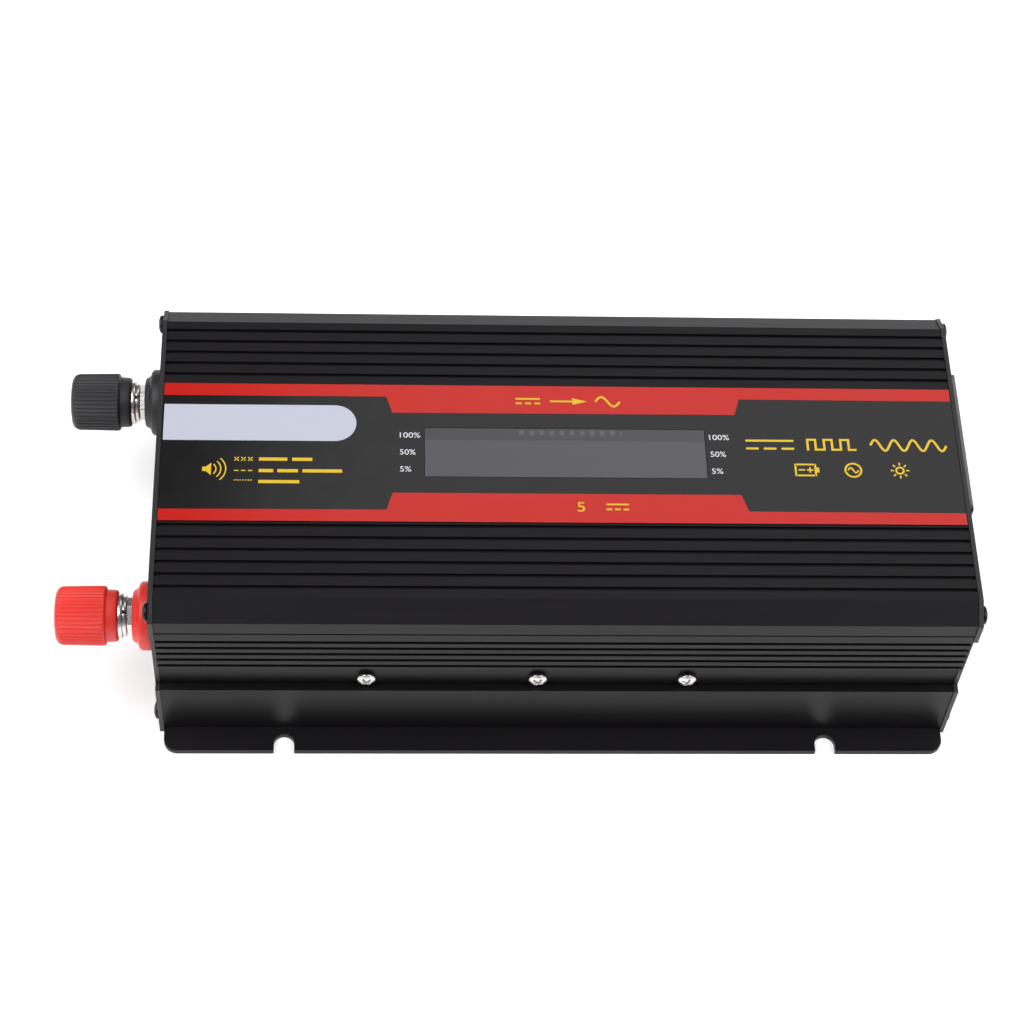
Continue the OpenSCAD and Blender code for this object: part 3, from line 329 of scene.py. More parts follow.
# %% Taped windings: bands of tape 6 mm wide with a shadow line between them
winding_tape, tree, shader = finish("yellow_winding_tape", "#D9A92C", 0.34)
where = add(tree, "TexCoord").outputs["Object"]
bands = add(tree, "TexWave", {"Vector": where, "Scale": 26.0, "Distortion": 0.4}, bands_direction="Z")
tint = add(tree, "ValToRGB", {"Fac": bands.outputs["Fac"]})
tint.color_ramp.elements[0].color = linear("#A87A18")
tint.color_ramp.elements[1].color = linear("#E2B93C")
tint.color_ramp.elements[0].position = 0.02
tint.color_ramp.elements[1].position = 0.10
tree.links.new(tint.outputs[0], shader.inputs["Base Color"])

# %% Capacitor sleeves: dark blue shrink film, and bare aluminium on top
SLEEVE_BLUE, BARE_TOP = linear("#1F2F66"), linear("#B9B9BC")
FACES_UP = 0.9
capacitor_sleeve, tree, shader = finish("capacitor_shrink_sleeve", "#1F2F66", 0.28)
normal = add(tree, "NewGeometry").outputs["Normal"]
up = add(tree, "SeparateXYZ", {"Vector": normal}).outputs["Z"]
top = add(tree, "Math", {0: up, 1: FACES_UP}, operation="GREATER_THAN")
coat = add(tree, "Mix", {"Factor": top.outputs[0], "A": SLEEVE_BLUE, "B": BARE_TOP}, data_type="RGBA")
tree.links.new(coat.outputs["Result"], shader.inputs["Base Color"])
tree.links.new(top.outputs[0], shader.inputs["Metallic"])
print(len(bpy.data.materials), "finishes so far")

# %% [markdown]
# ## Printed film, inks and the display
# The panel is a printed polycarbonate film: black ground, red bands and yellow marks, all under one satin
# skin with a slight ripple. The window over the display is the same film left clear, over a pane. The
# display is switched off, so through the smoked window it is a plain grey. A darker strip along the back is
# painted shade, standing in for the shadow of the recess's back wall; the faint ends of the display's pins
# show in it. All of that is put on the window itself, as one procedural pattern.

# %% Film and inks
def film(name, colour, roughness):
    """A satin printed film: one colour under a faintly rippled skin, with ripples about 6 mm across."""
    material, tree, shader = finish(name, colour, roughness, Specular_IOR_Level=0.3)
    roughen(tree, shader, 6.0, 0.0012, low=roughness - 0.02, high=roughness + 0.03)
    return material


film_black = film("printed_film_black", "#151314", 0.15)
ink_red = film("printed_film_red", "#B81A10", 0.17)
ink_yellow = film("printed_film_yellow", "#D8B427", 0.30)
ink_white = film("printed_film_white", "#DADBE2", 0.30)
sticker_white = film("blank_white_film", "#B9BCC9", 0.30)

# %% Window over the switched-off display, with a painted shade strip along its back, and lamps
smoked_pane, tree, shader = finish("smoked_window_pane", "#48474B", 0.30)
roughen(tree, shader, 4.0, 0.0015, low=0.28, high=0.32)
# The second grey is painted shade: the darker strip along the back edge of the window.
PANE_GREY, PAINTED_SHADE_GREY, TICK_GREY = linear("#48474B"), linear("#3C3B3F"), linear("#525155")
PIN_PITCH = 2.54 * MM
PIN_ROW_Y, PIN_HALF_LENGTH = 7.2 * MM, 0.7 * MM
PINS_MIDDLE_X, PINS_HALF_SPAN = 1.5 * MM, 13.5 * MM
PIN_EDGE = 0.1
PAINTED_SHADE_Y = 4.8 * MM
where = add(tree, "TexCoord").outputs["Object"]
parts = add(tree, "SeparateXYZ", {"Vector": where})
# Painted shade: the window turns darker towards its back edge, where the recess's back wall shades the
# display.
painted_shade_strip = add(tree, "Math", {0: parts.outputs["Y"], 1: PAINTED_SHADE_Y}, operation="GREATER_THAN")
turns = add(tree, "Math", {0: parts.outputs["X"], 1: TURN / PIN_PITCH}, operation="MULTIPLY")
comb = add(tree, "Math", {0: turns.outputs[0]}, operation="COSINE")
comb_on = add(tree, "Math", {0: comb.outputs[0], 1: PIN_EDGE}, operation="GREATER_THAN")
tick_y = add(tree, "Math", {0: parts.outputs["Y"], 1: PIN_ROW_Y, 2: PIN_HALF_LENGTH}, operation="COMPARE")
tick_x = add(tree, "Math", {0: parts.outputs["X"], 1: PINS_MIDDLE_X, 2: PINS_HALF_SPAN},
    operation="COMPARE")
near = add(tree, "Math", {0: tick_y.outputs[0], 1: tick_x.outputs[0]}, operation="MULTIPLY")
tick = add(tree, "Math", {0: near.outputs[0], 1: comb_on.outputs[0]}, operation="MULTIPLY")
grey_and_painted_shade = add(tree, "Mix", {"Factor": painted_shade_strip.outputs[0], "A": PANE_GREY, "B": PAINTED_SHADE_GREY},
    data_type="RGBA")
pins = add(tree, "Mix", {"Factor": tick.outputs[0], "A": grey_and_painted_shade.outputs["Result"], "B": TICK_GREY},
    data_type="RGBA")
tree.links.new(pins.outputs["Result"], shader.inputs["Base Color"])

display_grey, tree, shader = finish("unlit_display_cell", "#77767B", 0.42)
roughen(tree, shader, 2.0, 0.002, low=0.38, high=0.46)

green_lamp, tree, shader = finish("green_lamp_lens", "#4CCB62", 0.15, Transmission_Weight=0.6, IOR=1.5)
roughen(tree, shader, 1.0, 0.002, low=0.12, high=0.2)
red_lamp, tree, shader = finish("red_lamp_lens", "#D9362C", 0.15, Transmission_Weight=0.6, IOR=1.5)
roughen(tree, shader, 1.0, 0.002, low=0.12, high=0.2)

# %% [markdown]
# ## Dress the solids
# A solid whose shape is right keeps its mesh and only gets its finish. Its edges are mathematically sharp,
# which no extruded or moulded edge is, and a sharp edge never catches the light. Welding its loose
# triangles and bevelling its corners by a tenth or two of a millimetre gives each edge the thin highlight
# that it should have.

# %% Which solid gets which finish
FINISHES = {
    anodised: ["top_cover", "base_tray"],
    powder_paint: ["dc_end_plate", "ac_end_plate"],
    black_zinc: ["end_plate_screws", "fan_screws"],
    bright_plate: ["clamp_screws", "fan_nuts", "positive_stud", "negative_stud", "post_seat_nuts",
        "post_inner_nuts", "positive_plain_washer", "negative_plain_washer", "positive_spring_washer",
        "negative_spring_washer", "board_screws", "ac_socket_earth_strap", "usb_shell"],
    mill_steel: ["clamp_bars"],
    red_abs: ["positive_post_base", "positive_knob"],
    black_abs: ["negative_post_base", "negative_knob", "switch_rocker"],
    fan_pbt: ["fan_frame", "fan_rotor"],
    socket_pc: ["ac_socket_face", "ac_socket_back", "switch_body"],
    fibre_board: ["post_insulators"],
    copper: ["positive_busbar", "negative_busbar", "output_choke"],
    brass: ["ac_socket_sleeves", "switch_tabs", "usb_board_spacers", "board_spacers"],
    film_black: ["panel_overlay"],
    sticker_white: ["rating_sticker"],
    smoked_pane: ["display_window"],
    display_grey: ["display_module"],
    board_green: ["display_board", "usb_board", "main_board"],
    white_nylon: ["display_spacers", "transformer_bobbins"],
    ribbon_pvc: ["display_ribbon"],
    white_carrier: ["usb_tongues"],
    green_lamp: ["power_led"],
    red_lamp: ["fault_led"],
    ferrite: ["transformer_cores"],
    winding_tape: ["transformer_windings"],
    capacitor_sleeve: ["input_capacitors", "bus_capacitor"],
    fuse_orange: ["blade_fuses"],
    moulding_compound: ["power_transistors", "control_parts"],
    grey_silicone: ["insulating_pads"],
    wire_pvc: ["ac_wires"],
}
for material, names in FINISHES.items():
    for name in names:
        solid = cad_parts[name]
        solid.data.materials.clear()
        solid.data.materials.append(material)
undressed = set(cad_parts) - {name for names in FINISHES.values() for name in names}
print("solids left without a finish:", sorted(undressed))

# %% Soft edges, in mm, for the solids that show
WELD_MM = 0.002
BEVELLED_FROM = math.radians(28)
EDGES = {"top_cover": 0.22, "base_tray": 0.22, "dc_end_plate": 0.15, "ac_end_plate": 0.15,
    "ac_socket_face": 0.35, "switch_body": 0.25, "switch_rocker": 0.35, "fan_frame": 0.2, "fan_rotor": 0.12,
    "usb_shell": 0.1, "positive_post_base": 0.25, "negative_post_base": 0.25, "post_seat_nuts": 0.15,
    "positive_plain_washer": 0.12, "negative_plain_washer": 0.12, "positive_spring_washer": 0.1,
    "negative_spring_washer": 0.1}
for name, width in EDGES.items():
    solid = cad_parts[name]
    weld = solid.modifiers.new("weld", "WELD")
    weld.merge_threshold = WELD_MM * MM
    bevel = solid.modifiers.new("soft_edge", "BEVEL")
    bevel.width = width * MM
    bevel.segments = 2
    bevel.limit_method = "ANGLE"
    bevel.angle_limit = BEVELLED_FROM

# %% [markdown]
# ## Printed marks
# Ink is a few hundredths of a millimetre thick, so each mark is a thin plate laid on the film. The red
# bands are plain outlines; arcs, waves and rings are strokes, which means a line of points pushed half a
# width to each side. Plain numbers come from the built-in font, turned into a mesh and fitted into their
# box. Words are left out: in their places are short bars and simple signs for direct and alternating
# current.

# %% Outlines, strokes and plates
INK_MM = 0.03
SINK_MM = 0.02
FILM_TOP = case_high[2] + 0.25
INK_TOP = FILM_TOP + INK_MM
LOW, HIGH = FILM_TOP - SINK_MM, INK_TOP
OVER = INK_TOP - SINK_MM, INK_TOP + INK_MM


def plate(outline, low, high):
    """A flat plate with a given outline, counter-clockwise in mm, between two heights."""
    outline = np.asarray(outline, float)
    count = len(outline)
    bottom = np.column_stack([outline, np.full(count, low)])
    top = np.column_stack([outline, np.full(count, high)])
    ring = np.arange(count)
    after = (ring + 1) % count
    sides = np.stack([ring, after, after + count, ring + count], -1)
    faces = [tuple(range(count, 2 * count)), tuple(range(count - 1, -1, -1))]
    return np.vstack([bottom, top]), faces + [tuple(f) for f in sides.tolist()]


def stroke(points, width, low, high):
    """A band along a line of points: p + n * width / 2 out, p - n * width / 2 back, n normal to the line."""
    points = np.asarray(points, float)
    along = np.gradient(points, axis=0)
    along /= np.linalg.norm(along, axis=1, keepdims=True)
    side = np.column_stack([along[:, 1], -along[:, 0]]) * width / 2
    left, right = points + side, points - side
    count = len(points)
    flat = np.vstack([left, right])
    vertices = np.vstack([np.column_stack([flat, np.full(2 * count, z)]) for z in (low, high)])
    step = np.arange(count - 1)
    near, far = step, step + count
    up = 2 * count
    quads = [np.stack([near + up, near + 1 + up, far + 1 + up, far + up], -1),
        np.stack([near, far, far + 1, near + 1], -1),
        np.stack([near, near + 1, near + 1 + up, near + up], -1),
        np.stack([far + 1, far, far + up, far + 1 + up], -1)]
    faces = [tuple(q) for q in np.vstack(quads).tolist()]
    last = count - 1
    faces += [(0, up, count + up, count), (last, count + last, count + last + up, last + up)]
    return vertices, faces


def line(x0, x1, y):
    """The two ends of a level line, with its middle."""
    return [(x0, y), ((x0 + x1) / 2, y), (x1, y)]


def arc(x, y, radius, start, stop, steps=25):
    """Points on a circle between two angles in degrees."""
    angle = np.radians(np.linspace(start, stop, steps))
    return np.column_stack([x + radius * np.cos(angle), y + radius * np.sin(angle)])


def wave(x0, x1, y, height, periods):
    """A sine from x0 to x1: y + height / 2 * sin(TURN * periods * t)."""
    t = np.linspace(0, 1, int(24 * periods) + 1)
    return np.column_stack([x0 + (x1 - x0) * t, y + height / 2 * np.sin(TURN * periods * t)])


def lettering(text, x0, x1, y0, y1, low, high):
    """Characters of the built-in font as a plate, fitted exactly into a box."""
    curve = bpy.data.curves.new("characters", "FONT")
    curve.body = text
    curve.extrude = 0.5
    holder = bpy.data.objects.new("characters", curve)
    bpy.context.collection.objects.link(holder)
    bpy.context.view_layer.update()
    mesh = bpy.data.meshes.new_from_object(holder.evaluated_get(bpy.context.evaluated_depsgraph_get()))
    vertices = np.empty(3 * len(mesh.vertices))
    mesh.vertices.foreach_get("co", vertices)
    vertices = vertices.reshape(-1, 3)
    faces = [tuple(p.vertices) for p in mesh.polygons]
    bpy.data.objects.remove(holder)
    bpy.data.curves.remove(curve)
    bpy.data.meshes.remove(mesh)
    start, size = vertices.min(axis=0), np.ptp(vertices, axis=0)
    target, span = np.array([x0, y0, low]), np.array([x1 - x0, y1 - y0, high - low])
    return (vertices - start) / size * span + target, faces


# %% [markdown]
# The two red bands run the whole length of the film. In the middle they are wider, and a slanted step joins
# the narrow part to the wide part.

# %% Red bands
END_X = 99.8
BACK_EDGE, FRONT_EDGE = 21.6, -19.6
back_band = [(END_X, BACK_EDGE), (-END_X, BACK_EDGE), (-END_X, 17.9), (-44.1, 17.95), (-42.5, 13.0),
    (44.0, 13.15), (45.4, 18.0), (END_X, 17.9)]
front_band = [(-END_X, FRONT_EDGE), (END_X, FRONT_EDGE), (END_X, -16.2), (45.6, -16.05), (44.0, -11.15),
    (-42.5, -11.15), (-44.0, -16.15), (-END_X, -16.25)]
bands = [plate(band, LOW, HIGH) for band in (back_band, front_band)]
add_piece("red_bands", bands, ink_red, smooth=False)
print("red bands from", round(LOW, 2), "to", round(HIGH, 2), "mm")

# %% [markdown]
# The yellow marks are the loudspeaker with three rows of signals beside it, then a sign for direct current,
# an arrow and a sign for alternating current on the back band, and the 5 with its sign on the front band.
# Marks on a band lie on its ink, one ink thickness higher than marks on the film.

# %% Yellow marks: the loudspeaker, its signals and the signs on the bands
SPEAKER_X, SPEAKER_Y = -88.0, -4.45
CROSSES_Y, DASHES_Y, DOTS_Y = -1.4, -4.85, -7.7
HALF_MARK, HALF_DOT = 0.55, 0.17
speaker = [(-89.5, -5.1), (-88.6, -5.1), (-87.3, -6.3), (-87.3, -2.6), (-88.6, -3.8), (-89.5, -3.8)]
yellow = [plate(speaker, LOW, HIGH)]
yellow += [stroke(arc(SPEAKER_X, SPEAKER_Y, r, -48, 48), 0.33, LOW, HIGH) for r in (1.9, 3.1, 4.3)]
for x in (-81.1, -79.4, -77.7):
    for lean in (-HALF_MARK, HALF_MARK):
        cross = [(x - HALF_MARK, CROSSES_Y - lean), (x, CROSSES_Y), (x + HALF_MARK, CROSSES_Y + lean)]
        yellow.append(stroke(cross, 0.28, LOW, HIGH))
    yellow.append(stroke(line(x - HALF_MARK, x + HALF_MARK, DASHES_Y), 0.32, LOW, HIGH))
for x in np.linspace(-81.4, -77.4, 7):
    yellow.append(stroke(line(x - HALF_DOT, x + HALF_DOT, DOTS_Y), 0.32, LOW, HIGH))
BARS = ((-75.6, -68.6, CROSSES_Y), (-67.4, -62.4, CROSSES_Y), (-75.6, -72.0, DASHES_Y),
    (-71.0, -65.9, DASHES_Y), (-64.8, -55.0, DASHES_Y), (-75.6, -65.5, -8.1))
yellow += [stroke(line(x0, x1, y), 0.95, LOW, HIGH) for x0, x1, y in BARS]
yellow.append(stroke(line(-11.4, -5.2, 17.6), 0.5, *OVER))
yellow += [stroke(line(x, x + 1.5, 16.2), 0.5, *OVER) for x in (-11.4, -9.05, -6.7)]
yellow.append(stroke(line(-2.7, 3.1, 16.9), 0.5, *OVER))
yellow.append(plate([(2.9, 15.9), (6.75, 16.9), (2.9, 17.9)], *OVER))
yellow.append(stroke(wave(8.8, 15.0, 16.9, 2.9, 1), 0.55, *OVER))
yellow.append(lettering("5", 3.0, 4.9, -16.4, -13.6, *OVER))
yellow.append(stroke(line(10.2, 15.8, -14.2), 0.45, *OVER))
yellow += [stroke(line(x, x + 1.4, -15.7), 0.45, *OVER) for x in (10.2, 12.3, 14.4)]
add_piece("yellow_marks", yellow, ink_yellow, smooth=False)
print(len(yellow), "yellow marks")

# %% [markdown]
# At the right end are a sign for direct current, a square wave and a sine wave, and below them a battery, a
# ring with a wave in it, and a sun. Every closed outline runs counter-clockwise, so that its plate faces
# up.

# %% Signs at the right
SIGN_Y = -3.5
SUN_X, RAYS = 84.6, 8
CROSSING_MM = 0.004
signs = [stroke(line(46.2, 58.4, 5.3), 0.62, LOW, HIGH)]
signs += [stroke(line(x, x + 3.2, 2.9), 0.62, LOW, HIGH) for x in (46.2, 50.7, 55.2)]
for x in (61.6, 65.8, 70.0):
    step = [(x, 2.4), (x + 0.6, 2.4), (x + 0.6, 5.4), (x + 2.0, 5.4), (x + 2.0, 2.4), (x + 4.2, 2.4),
        (x + 4.2, 3.0), (x + 2.6, 3.0), (x + 2.6, 6.0), (x, 6.0)]
    signs.append(plate(step, LOW, HIGH))
signs.append(stroke(wave(77.9, 97.2, 4.15, 3.3, 4), 0.62, LOW, HIGH))
for x in (58.0, 63.0):
    signs.append(plate([(x + 0.5, -5.4), (x + 0.5, -1.6), (x, -1.6), (x, -5.4)], LOW, HIGH))
signs += [stroke(line(58.3, 63.2, y), 0.5, LOW, HIGH) for y in (-5.15, -1.85)]
signs.append(stroke(line(63.5, 64.2, SIGN_Y), 1.5, LOW, HIGH))
signs += [stroke(line(x - 0.8, x + 0.8, SIGN_Y), 0.45, LOW, HIGH) for x in (59.8, 61.9)]
signs.append(stroke([(61.9, -4.3), (61.9, SIGN_Y), (61.9, -2.7)], 0.45, LOW, HIGH + CROSSING_MM))
signs.append(stroke(arc(72.8, SIGN_Y, 2.0, 0, 360, 49), 0.5, LOW, HIGH))
signs.append(stroke(wave(71.5, 74.1, SIGN_Y, 1.5, 1), 0.42, LOW, HIGH))
signs.append(stroke(arc(SUN_X, SIGN_Y, 0.95, 0, 360, 37), 0.5, LOW, HIGH))
sun = np.array([SUN_X, SIGN_Y])
for angle in np.arange(RAYS) * TURN / RAYS:
    ray = np.array([math.cos(angle), math.sin(angle)])
    signs.append(stroke([sun + 1.55 * ray, sun + 1.95 * ray, sun + 2.35 * ray], 0.42, LOW, HIGH))
add_piece("yellow_signs", signs, ink_yellow, smooth=False)
print(len(signs), "plates and strokes in the signs")

# %% White numbers of the display's scale, on both sides of the window
LEFT_START, RIGHT_START = -40.7, 37.1
HALF_DIGIT = 0.8
SCALE = (("100%", 6.18, -35.6, 42.1), ("50%", 1.06, -36.8, 41.0), ("5%", -4.06, -37.9, 39.95))
numbers = []
for text, y, left_end, right_end in SCALE:
    for start, end in ((LEFT_START, left_end), (RIGHT_START, right_end)):
        numbers.append(lettering(text, start, end, y - HALF_DIGIT, y + HALF_DIGIT, LOW, HIGH))
add_piece("scale_numbers", numbers, ink_white, smooth=False)
print(len(numbers), "numbers")

# %% [markdown]
# ## Screw heads
# A pan head is a low dome that turns down into a short wall. Its cross recess has four arms that get
# shallower outwards. Both fit into one height formula over rings of points, so no cutting is needed: the
# height of a point is the dome less the recess. The shank is the same grid carried on below the head. The
# heads are all turned a little differently, as a screwdriver leaves them.

# %% Pan-head screws
def smooth_step(low, high, value):
    """0 below low, 1 above high, and 3 t^2 - 2 t^3 between."""
    t = np.clip((value - low) / (high - low), 0, 1)
    return t * t * (3 - 2 * t)


def turned(profile, columns=64):
    """A grid turned about +Z from (radius, height) pairs."""
    angle = np.linspace(0, TURN, columns + 1)[:-1]
    r, h = np.array(profile, float).T
    ones = np.ones_like(angle)
    return np.stack([np.outer(r, np.cos(angle)), np.outer(r, np.sin(angle)), np.outer(h, ones)], -1)


def pan_screw(radius, height, shank, length):
    """Head: z = height * (1 - 0.42 (r / R)^2.4) - recess. Recess: depth (1 - r / reach) inside an arm, where
    the distance across the arm, min(|x|, |y|), is under half its width. Below the rim a wall and a shank."""
    angle = np.linspace(0, TURN, 97)[:-1]
    ring = np.concatenate([np.linspace(0.02, 0.7, 22), np.linspace(0.74, 0.97, 7), [0.99, 1.0]]) * radius
    r, a = np.meshgrid(ring, angle, indexing="ij")
    x, y = r * np.cos(a), r * np.sin(a)
    dome = height * (1 - 0.42 * (r / radius) ** 2.4)
    across = np.minimum(np.abs(x), np.abs(y))
    inside = 1 - smooth_step(0.10 * radius, 0.15 * radius, across)
    depth = height * 0.85 * np.clip(1 - r / (0.66 * radius), 0, 1) ** 0.6
    top = np.stack([x, y, dome - inside * depth], -1)
    below = [(radius, 0.0), (shank, 0.0), (shank, -length)]
    wall = turned(below, 96)
    return grid_mesh(np.concatenate([top, wall])[::-1])


CORNER_Y = 43.2
CORNER_Z = (4.4, case_high[2] - 3.9)
PLATE_MM = 1.2
PLATE_X = case_high[0] + PLATE_MM
corner = pan_screw(2.3, 1.4, 1.2, 9.0)
corner_spots = [(s, y, z) for s in (-1, 1) for y in (-CORNER_Y, CORNER_Y) for z in CORNER_Z]
corners = [placed(corner, aimed((side * PLATE_X, y, z), (side, 0, 0), 0.4 + 1.3 * k))
    for k, (side, y, z) in enumerate(corner_spots)]
add_piece("end_plate_screws_dressed", corners, black_zinc, replaces=("end_plate_screws",))

CLAMP_X = (-48.7, -5.8, 31.8)
CLAMP_Z = 24.3
BAND_Y = case_high[1] - 2.25
clamp = pan_screw(2.3, 1.9, 1.4, 8.0)
clamp_spots = [(x, s) for x in CLAMP_X for s in (-1, 1)]
clamps = [placed(clamp, aimed((x, side * BAND_Y, CLAMP_Z), (0, side, 0), 0.7 + 0.9 * k))
    for k, (x, side) in enumerate(clamp_spots)]
add_piece("clamp_screws_dressed", clamps, bright_plate, replaces=("clamp_screws",))
print(len(corners), "black and", len(clamps), "bright screws")

# %% [markdown]
# ## Threads and knobs
# A thread is a cylinder whose radius rises and falls with the height, shifted by one pitch per turn. A knob
# is a turned profile with a fine fluting: its radius dips between ribs as a power of a cosine, only along
# the grip.

# %% Threaded studs
POST_Y, POST_Z = case_high[1] - 14.3, 33.0
OUT_X = -PLATE_X


def threaded_rod(radius, pitch, length):
    """r = R - 0.54 pitch * tri(z / pitch - a / TURN), where tri rises from 0 to 1 and falls back in one
    pitch."""
    height = np.arange(0, length, pitch / 8)
    angle = np.linspace(0, TURN, 37)[:-1]
    h, a = np.meshgrid(height, angle, indexing="ij")
    phase = (h / pitch - a / TURN) % 1.0
    ends = np.clip(np.minimum(h, length - h) / 0.6, 0, 1)
    r = radius - 0.54 * pitch * (1 - np.abs(2 * phase - 1)) - 0.4 * (1 - ends)
    return grid_mesh(np.stack([r * np.cos(a), r * np.sin(a), h], -1))


STUD_IN, STUD_OUT = 9.0 + PLATE_MM, 21.3
STUD_R, THREAD_PITCH = 2.5, 0.8
rod = threaded_rod(STUD_R, THREAD_PITCH, STUD_IN + STUD_OUT)
for name, side in (("positive_stud", -1), ("negative_stud", 1)):
    place = (OUT_X + STUD_IN, side * POST_Y, POST_Z)
    add_piece(name + "_threaded", [placed(rod, aimed(place, (-1, 0, 0)))], bright_plate,
        replaces=(name,))
print("studs reach", STUD_OUT, "mm out of the plate")

# %% Fluted knobs
def fluted_knob(ribs):
    """Turned profile, heights measured outwards from the end plate; on the grip the radius is
    r - 0.30 * (1 - |cos(ribs a / 2)|^1.4) * grip, with grip fading to 0 at both ends."""
    outside = [(5.0, 24.3), (5.9, 24.15), (6.6, 23.8), (7.0, 23.3), (7.25, 22.7)]
    outside += [(7.3 + 0.16 * t, 22.4 - 9.9 * t) for t in np.linspace(0, 1, 15)]
    outside += [(7.42, 12.25), (7.3, 12.0), (7.05, 11.85), (6.75, 11.8), (6.6, 11.7), (6.55, 11.4)]
    outside += [(6.5, 10.4), (6.45, 9.5), (6.3, 9.1), (6.0, 8.92), (5.7, 8.9)]
    outside += [(2.75, 8.9), (2.6, 9.1), (2.56, 9.6), (2.56, 22.2)]
    grid = turned(outside, ribs * 12)
    height = grid[:, :1, 2]
    angle = np.linspace(0, TURN, ribs * 12 + 1)[:-1][None, :]
    radius = np.hypot(grid[:, :, 0], grid[:, :, 1])
    grip = smooth_step(12.0, 12.6, height) * (1 - smooth_step(22.6, 23.6, height)) * (radius > 6)
    dip = 0.30 * (1 - np.abs(np.cos(ribs * angle / 2)) ** 1.4) * grip
    grid[:, :, :2] *= ((radius - dip) / radius)[:, :, None]
    return grid_mesh(grid[::-1])


knob = fluted_knob(42)
KNOBS = (("positive", -1, red_abs, "red_plastic"), ("negative", 1, black_abs, "black_plastic"))
for name, side, material, colour_slot in KNOBS:
    matrix = aimed((OUT_X, side * POST_Y, POST_Z), (-1, 0, 0))
    add_piece(name + "_knob_fluted", [placed(knob, matrix)], material, body=name + "_grip",
        replaces=(name + "_knob",))
print(len(knob[0]), "points in a knob")

# %% [markdown]
# ## The fan
# A fan blade is a curved sheet that leans into its turn: a short arc at the hub, swept further round at the
# tip. The blade is a closed grid, with its upper side out and its lower side back, repeated seven times by
# turning.

# %% Fan hub and blades
BLADES = 7
FAN_Z = 31.25
FAN_X = -case_high[0] + 0.6


def fan_blade(turn):
    """Points at radius r and chord u: angle = turn + 0.62 u + 0.02 (r - 9.5), and the middle of the blade at
    height 0.7 + 6.0 u (1.25 - 0.25 u). The blade is 0.25 + 0.75 sin(pi u) thick, thinnest at both edges."""
    r = np.linspace(9.3, 18.2, 10)[:, None]
    u = np.linspace(0, 1, 17)[None, :]
    angle = turn + 0.62 * u + 0.02 * (r - 9.5)
    height = 0.7 + 6.0 * u * (1.25 - 0.25 * u) + 0 * r
    thick = 0.25 + 0.75 * np.sin(math.pi * u) + 0 * r
    upper = np.stack([r * np.cos(angle), r * np.sin(angle), height + thick / 2], -1)
    lower = np.stack([r * np.cos(angle), r * np.sin(angle), height - thick / 2], -1)[:, ::-1]
    return grid_mesh(np.concatenate([upper, lower], axis=1)[::-1])


hub_line = [(0.02, 8.0), (1.0, 8.0), (1.05, 1.5), (8.6, 1.6), (8.6, 7.4), (9.5, 7.4)]
hub_line += [(9.6, 7.2), (9.6, 0.6), (9.4, 0.2), (9.0, 0.0)]
hub = grid_mesh(turned(hub_line)[::-1])
fan_matrix = aimed((FAN_X, 0, FAN_Z), (1, 0, 0))
rotor = [placed(fan_blade(k * TURN / BLADES), fan_matrix) for k in range(BLADES)] + [placed(hub, fan_matrix)]
add_piece("fan_rotor_dressed", rotor, fan_pbt, body="fan_blades", replaces=("fan_rotor",))
print(BLADES, "blades")

# %% [markdown]
# ## The choke's winding
# Inside, the output choke is a ferrite ring wound with thick enamelled wire. The wire is one tube along a
# line that winds round the ring's section while it goes slowly round the ring. Its loops follow a rounded
# square, |cos a|^5 + |sin a|^5 = 1, because wire pulled over a ring lies flat on its four sides.

# %% Ring core and its wire
choke_low, choke_high = box_mm("output_choke")
centre = (choke_low + choke_high) / 2
TURNS = 26
RING_R, HALF_WIDE, HALF_HIGH = 8.25, 3.1, 4.8
WIRE_R = 0.62


def tube(path, radius, sides=8):
    """A ring of points round each point of a path, square to its direction."""
    along = np.gradient(path, axis=0)
    along /= np.linalg.norm(along, axis=1, keepdims=True)
    side = np.cross(along, [0.31, 0.17, 0.93])
    side /= np.linalg.norm(side, axis=1, keepdims=True)
    other = np.cross(along, side)
    angle = np.linspace(0, TURN, sides + 1)[:-1]
    ring = side[:, None] * np.cos(angle)[None, :, None] + other[:, None] * np.sin(angle)[None, :, None]
    return grid_mesh(path[:, None] + radius * ring)


t = np.linspace(0, 1, TURNS * 26)
around = TURN * TURNS * t
squarer = 1 / (np.abs(np.cos(around)) ** 5 + np.abs(np.sin(around)) ** 5) ** 0.2
reach = RING_R + HALF_WIDE * squarer * np.cos(around)
turn = math.radians(20) + math.radians(320) * t
path = np.stack([reach * np.cos(turn), reach * np.sin(turn), HALF_HIGH * squarer * np.sin(around)], -1)
core_line = [(6.2, -3.9), (10.3, -3.9), (10.6, -3.5), (10.6, 3.5), (10.3, 3.9), (6.2, 3.9), (5.9, 3.5),
    (5.9, -3.5), (6.2, -3.9)]
core = grid_mesh(turned(core_line), cap_first=False, cap_last=False)
move = Matrix.Translation(Vector(centre))
wire = placed(tube(path, WIRE_R), move)
add_piece("choke_winding", [wire], copper, replaces=("output_choke",))
add_piece("choke_core", [placed(core, move)], ferrite)
print(TURNS, "turns on the choke")

# %% [markdown]
# ## The switch's marks
# The rocker has two flat halves that lean away from each other. At rest it is tilted by ten degrees, so a
# mark is drawn flat, laid on its half, and turned with the rocker about the pivot.

# %% A bar for on and a ring for off, on the two halves of the rocker
LEAN = math.radians(10)
SWITCH_Y, SWITCH_Z = -27.5, 41.5
PIVOT_IN = 2.7
FACE_OUT, MARK_ALONG = 3.24, 5.2
HALF_LEAN = math.atan(0.5 / 8.0)
pivot_place = Vector((PLATE_X - PIVOT_IN, SWITCH_Y, SWITCH_Z))
PIVOT = Matrix.Translation(pivot_place) @ Matrix.Rotation(LEAN, 4, "Z")


def on_rocker(along, tilt):
    """Takes a mark drawn flat, x to the right and y up as seen from the end, onto one half of the rocker."""
    spot = Matrix.Translation(Vector((FACE_OUT, along, 0))) @ Matrix.Rotation(tilt, 4, "Z")
    upright = Matrix(((0, 0, 1, 0), (1, 0, 0, 0), (0, 1, 0, 0), (0, 0, 0, 1)))
    return PIVOT @ spot @ upright


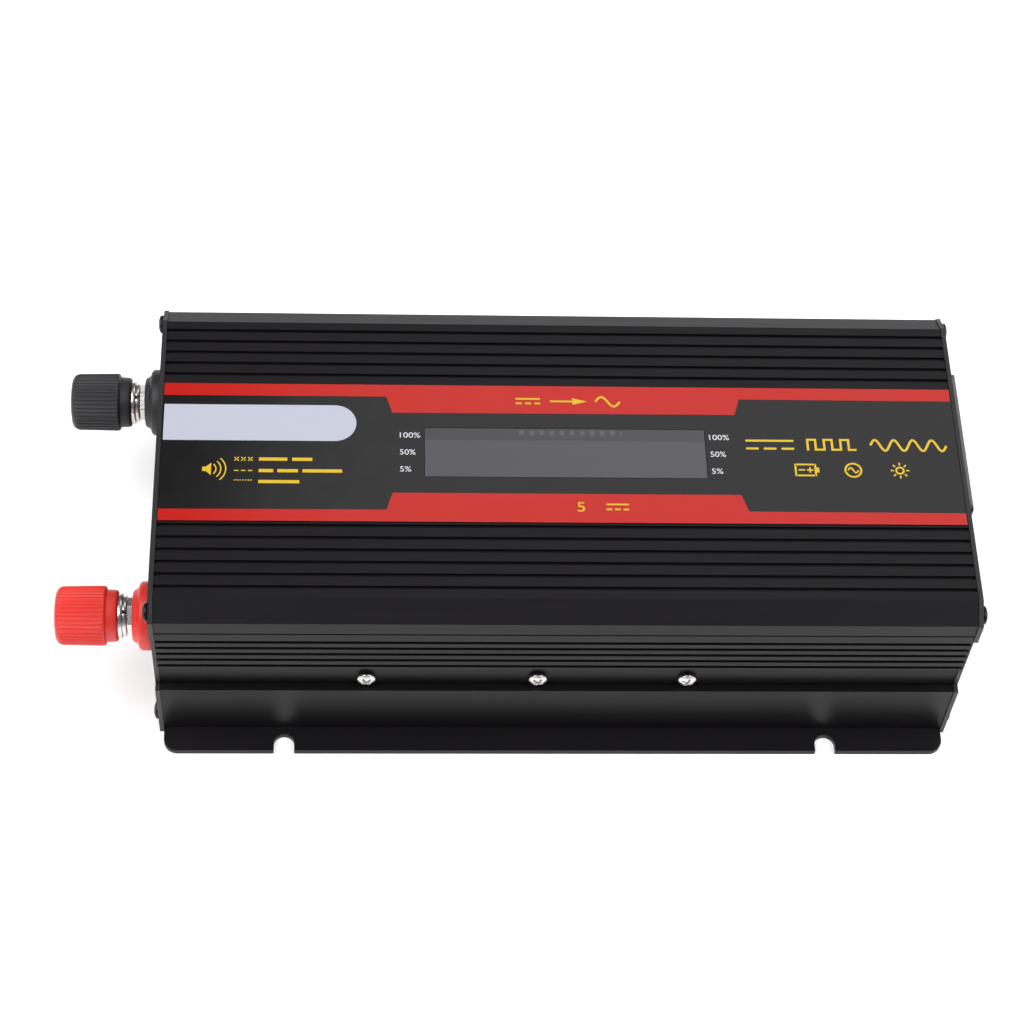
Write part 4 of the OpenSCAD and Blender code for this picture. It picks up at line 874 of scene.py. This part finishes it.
bar = stroke([(0, -1.6), (0, 0), (0, 1.6)], 0.5, -0.06, INK_MM)
ring = stroke(arc(0, 0, 1.3, 0, 360, 49), 0.42, -0.06, INK_MM)
marks = [placed(bar, on_rocker(MARK_ALONG, -HALF_LEAN)), placed(ring, on_rocker(-MARK_ALONG, HALF_LEAN))]
add_piece("rocker_marks", marks, ink_white, body="rocker", smooth=False)
print("rocker pivot at", [round(v, 2) for v in pivot_place], "mm")

# %% [markdown]
# ## The stage
# A plain pale floor and soft light. A black satin box shows mostly what it mirrors, so the lights are
# placed for their reflections: a dim panel behind gives the roof its grey sheen, and a long low card in
# front and the pale floor light up the front wall. The floor also glows weakly, so that it stays white
# under the soft shadow.

# %% Floor, lights and surroundings
FLOOR_SIZE, FLOOR_GLOW = 12.0, 0.4
WORLD_COLOUR, WORLD_STRENGTH = (0.9, 0.93, 1.0, 1.0), 0.18
floor_paint, _, _ = finish("pale_floor", "#FAFAFA", 0.9, Emission_Color=(1, 1, 1, 1),
    Emission_Strength=FLOOR_GLOW)
bpy.ops.mesh.primitive_plane_add(size=FLOOR_SIZE)
floor = bpy.context.active_object
floor.name = "floor"
floor.data.materials.append(floor_paint)


def softbox(name, place, aim, size, power):
    """A rectangular area light of a power in watts at a place in metres, turned to face the point aim."""
    light = bpy.data.lights.new(name, "AREA")
    light.shape = "RECTANGLE"
    light.size, light.size_y = size
    light.energy = power
    lamp = bpy.data.objects.new(name, light)
    lamp.location = place
    lamp.rotation_euler = (Vector(place) - Vector(aim)).to_track_quat("Z", "Y").to_euler()
    bpy.context.collection.objects.link(lamp)


softbox("key", (-0.75, -0.15, 1.25), (0, 0, 0), (1.0, 1.0), 15)
softbox("front", (0.0, -1.7, 0.32), (0, 0, 0.05), (3.0, 0.5), 2)
softbox("fill", (0.95, -0.25, 1.15), (0, 0, 0), (1.0, 1.0), 14)
softbox("sheen", (0.32, 0.70, 1.06), (0, 0, 0.05), (0.86, 0.60), 2.4)
world = bpy.data.worlds.new("studio")
bpy.context.scene.world = world
world.use_nodes = True
background = world.node_tree.nodes["Background"]
background.inputs["Color"].default_value = WORLD_COLOUR
background.inputs["Strength"].default_value = WORLD_STRENGTH
bpy.context.scene.view_settings.view_transform = "Standard"
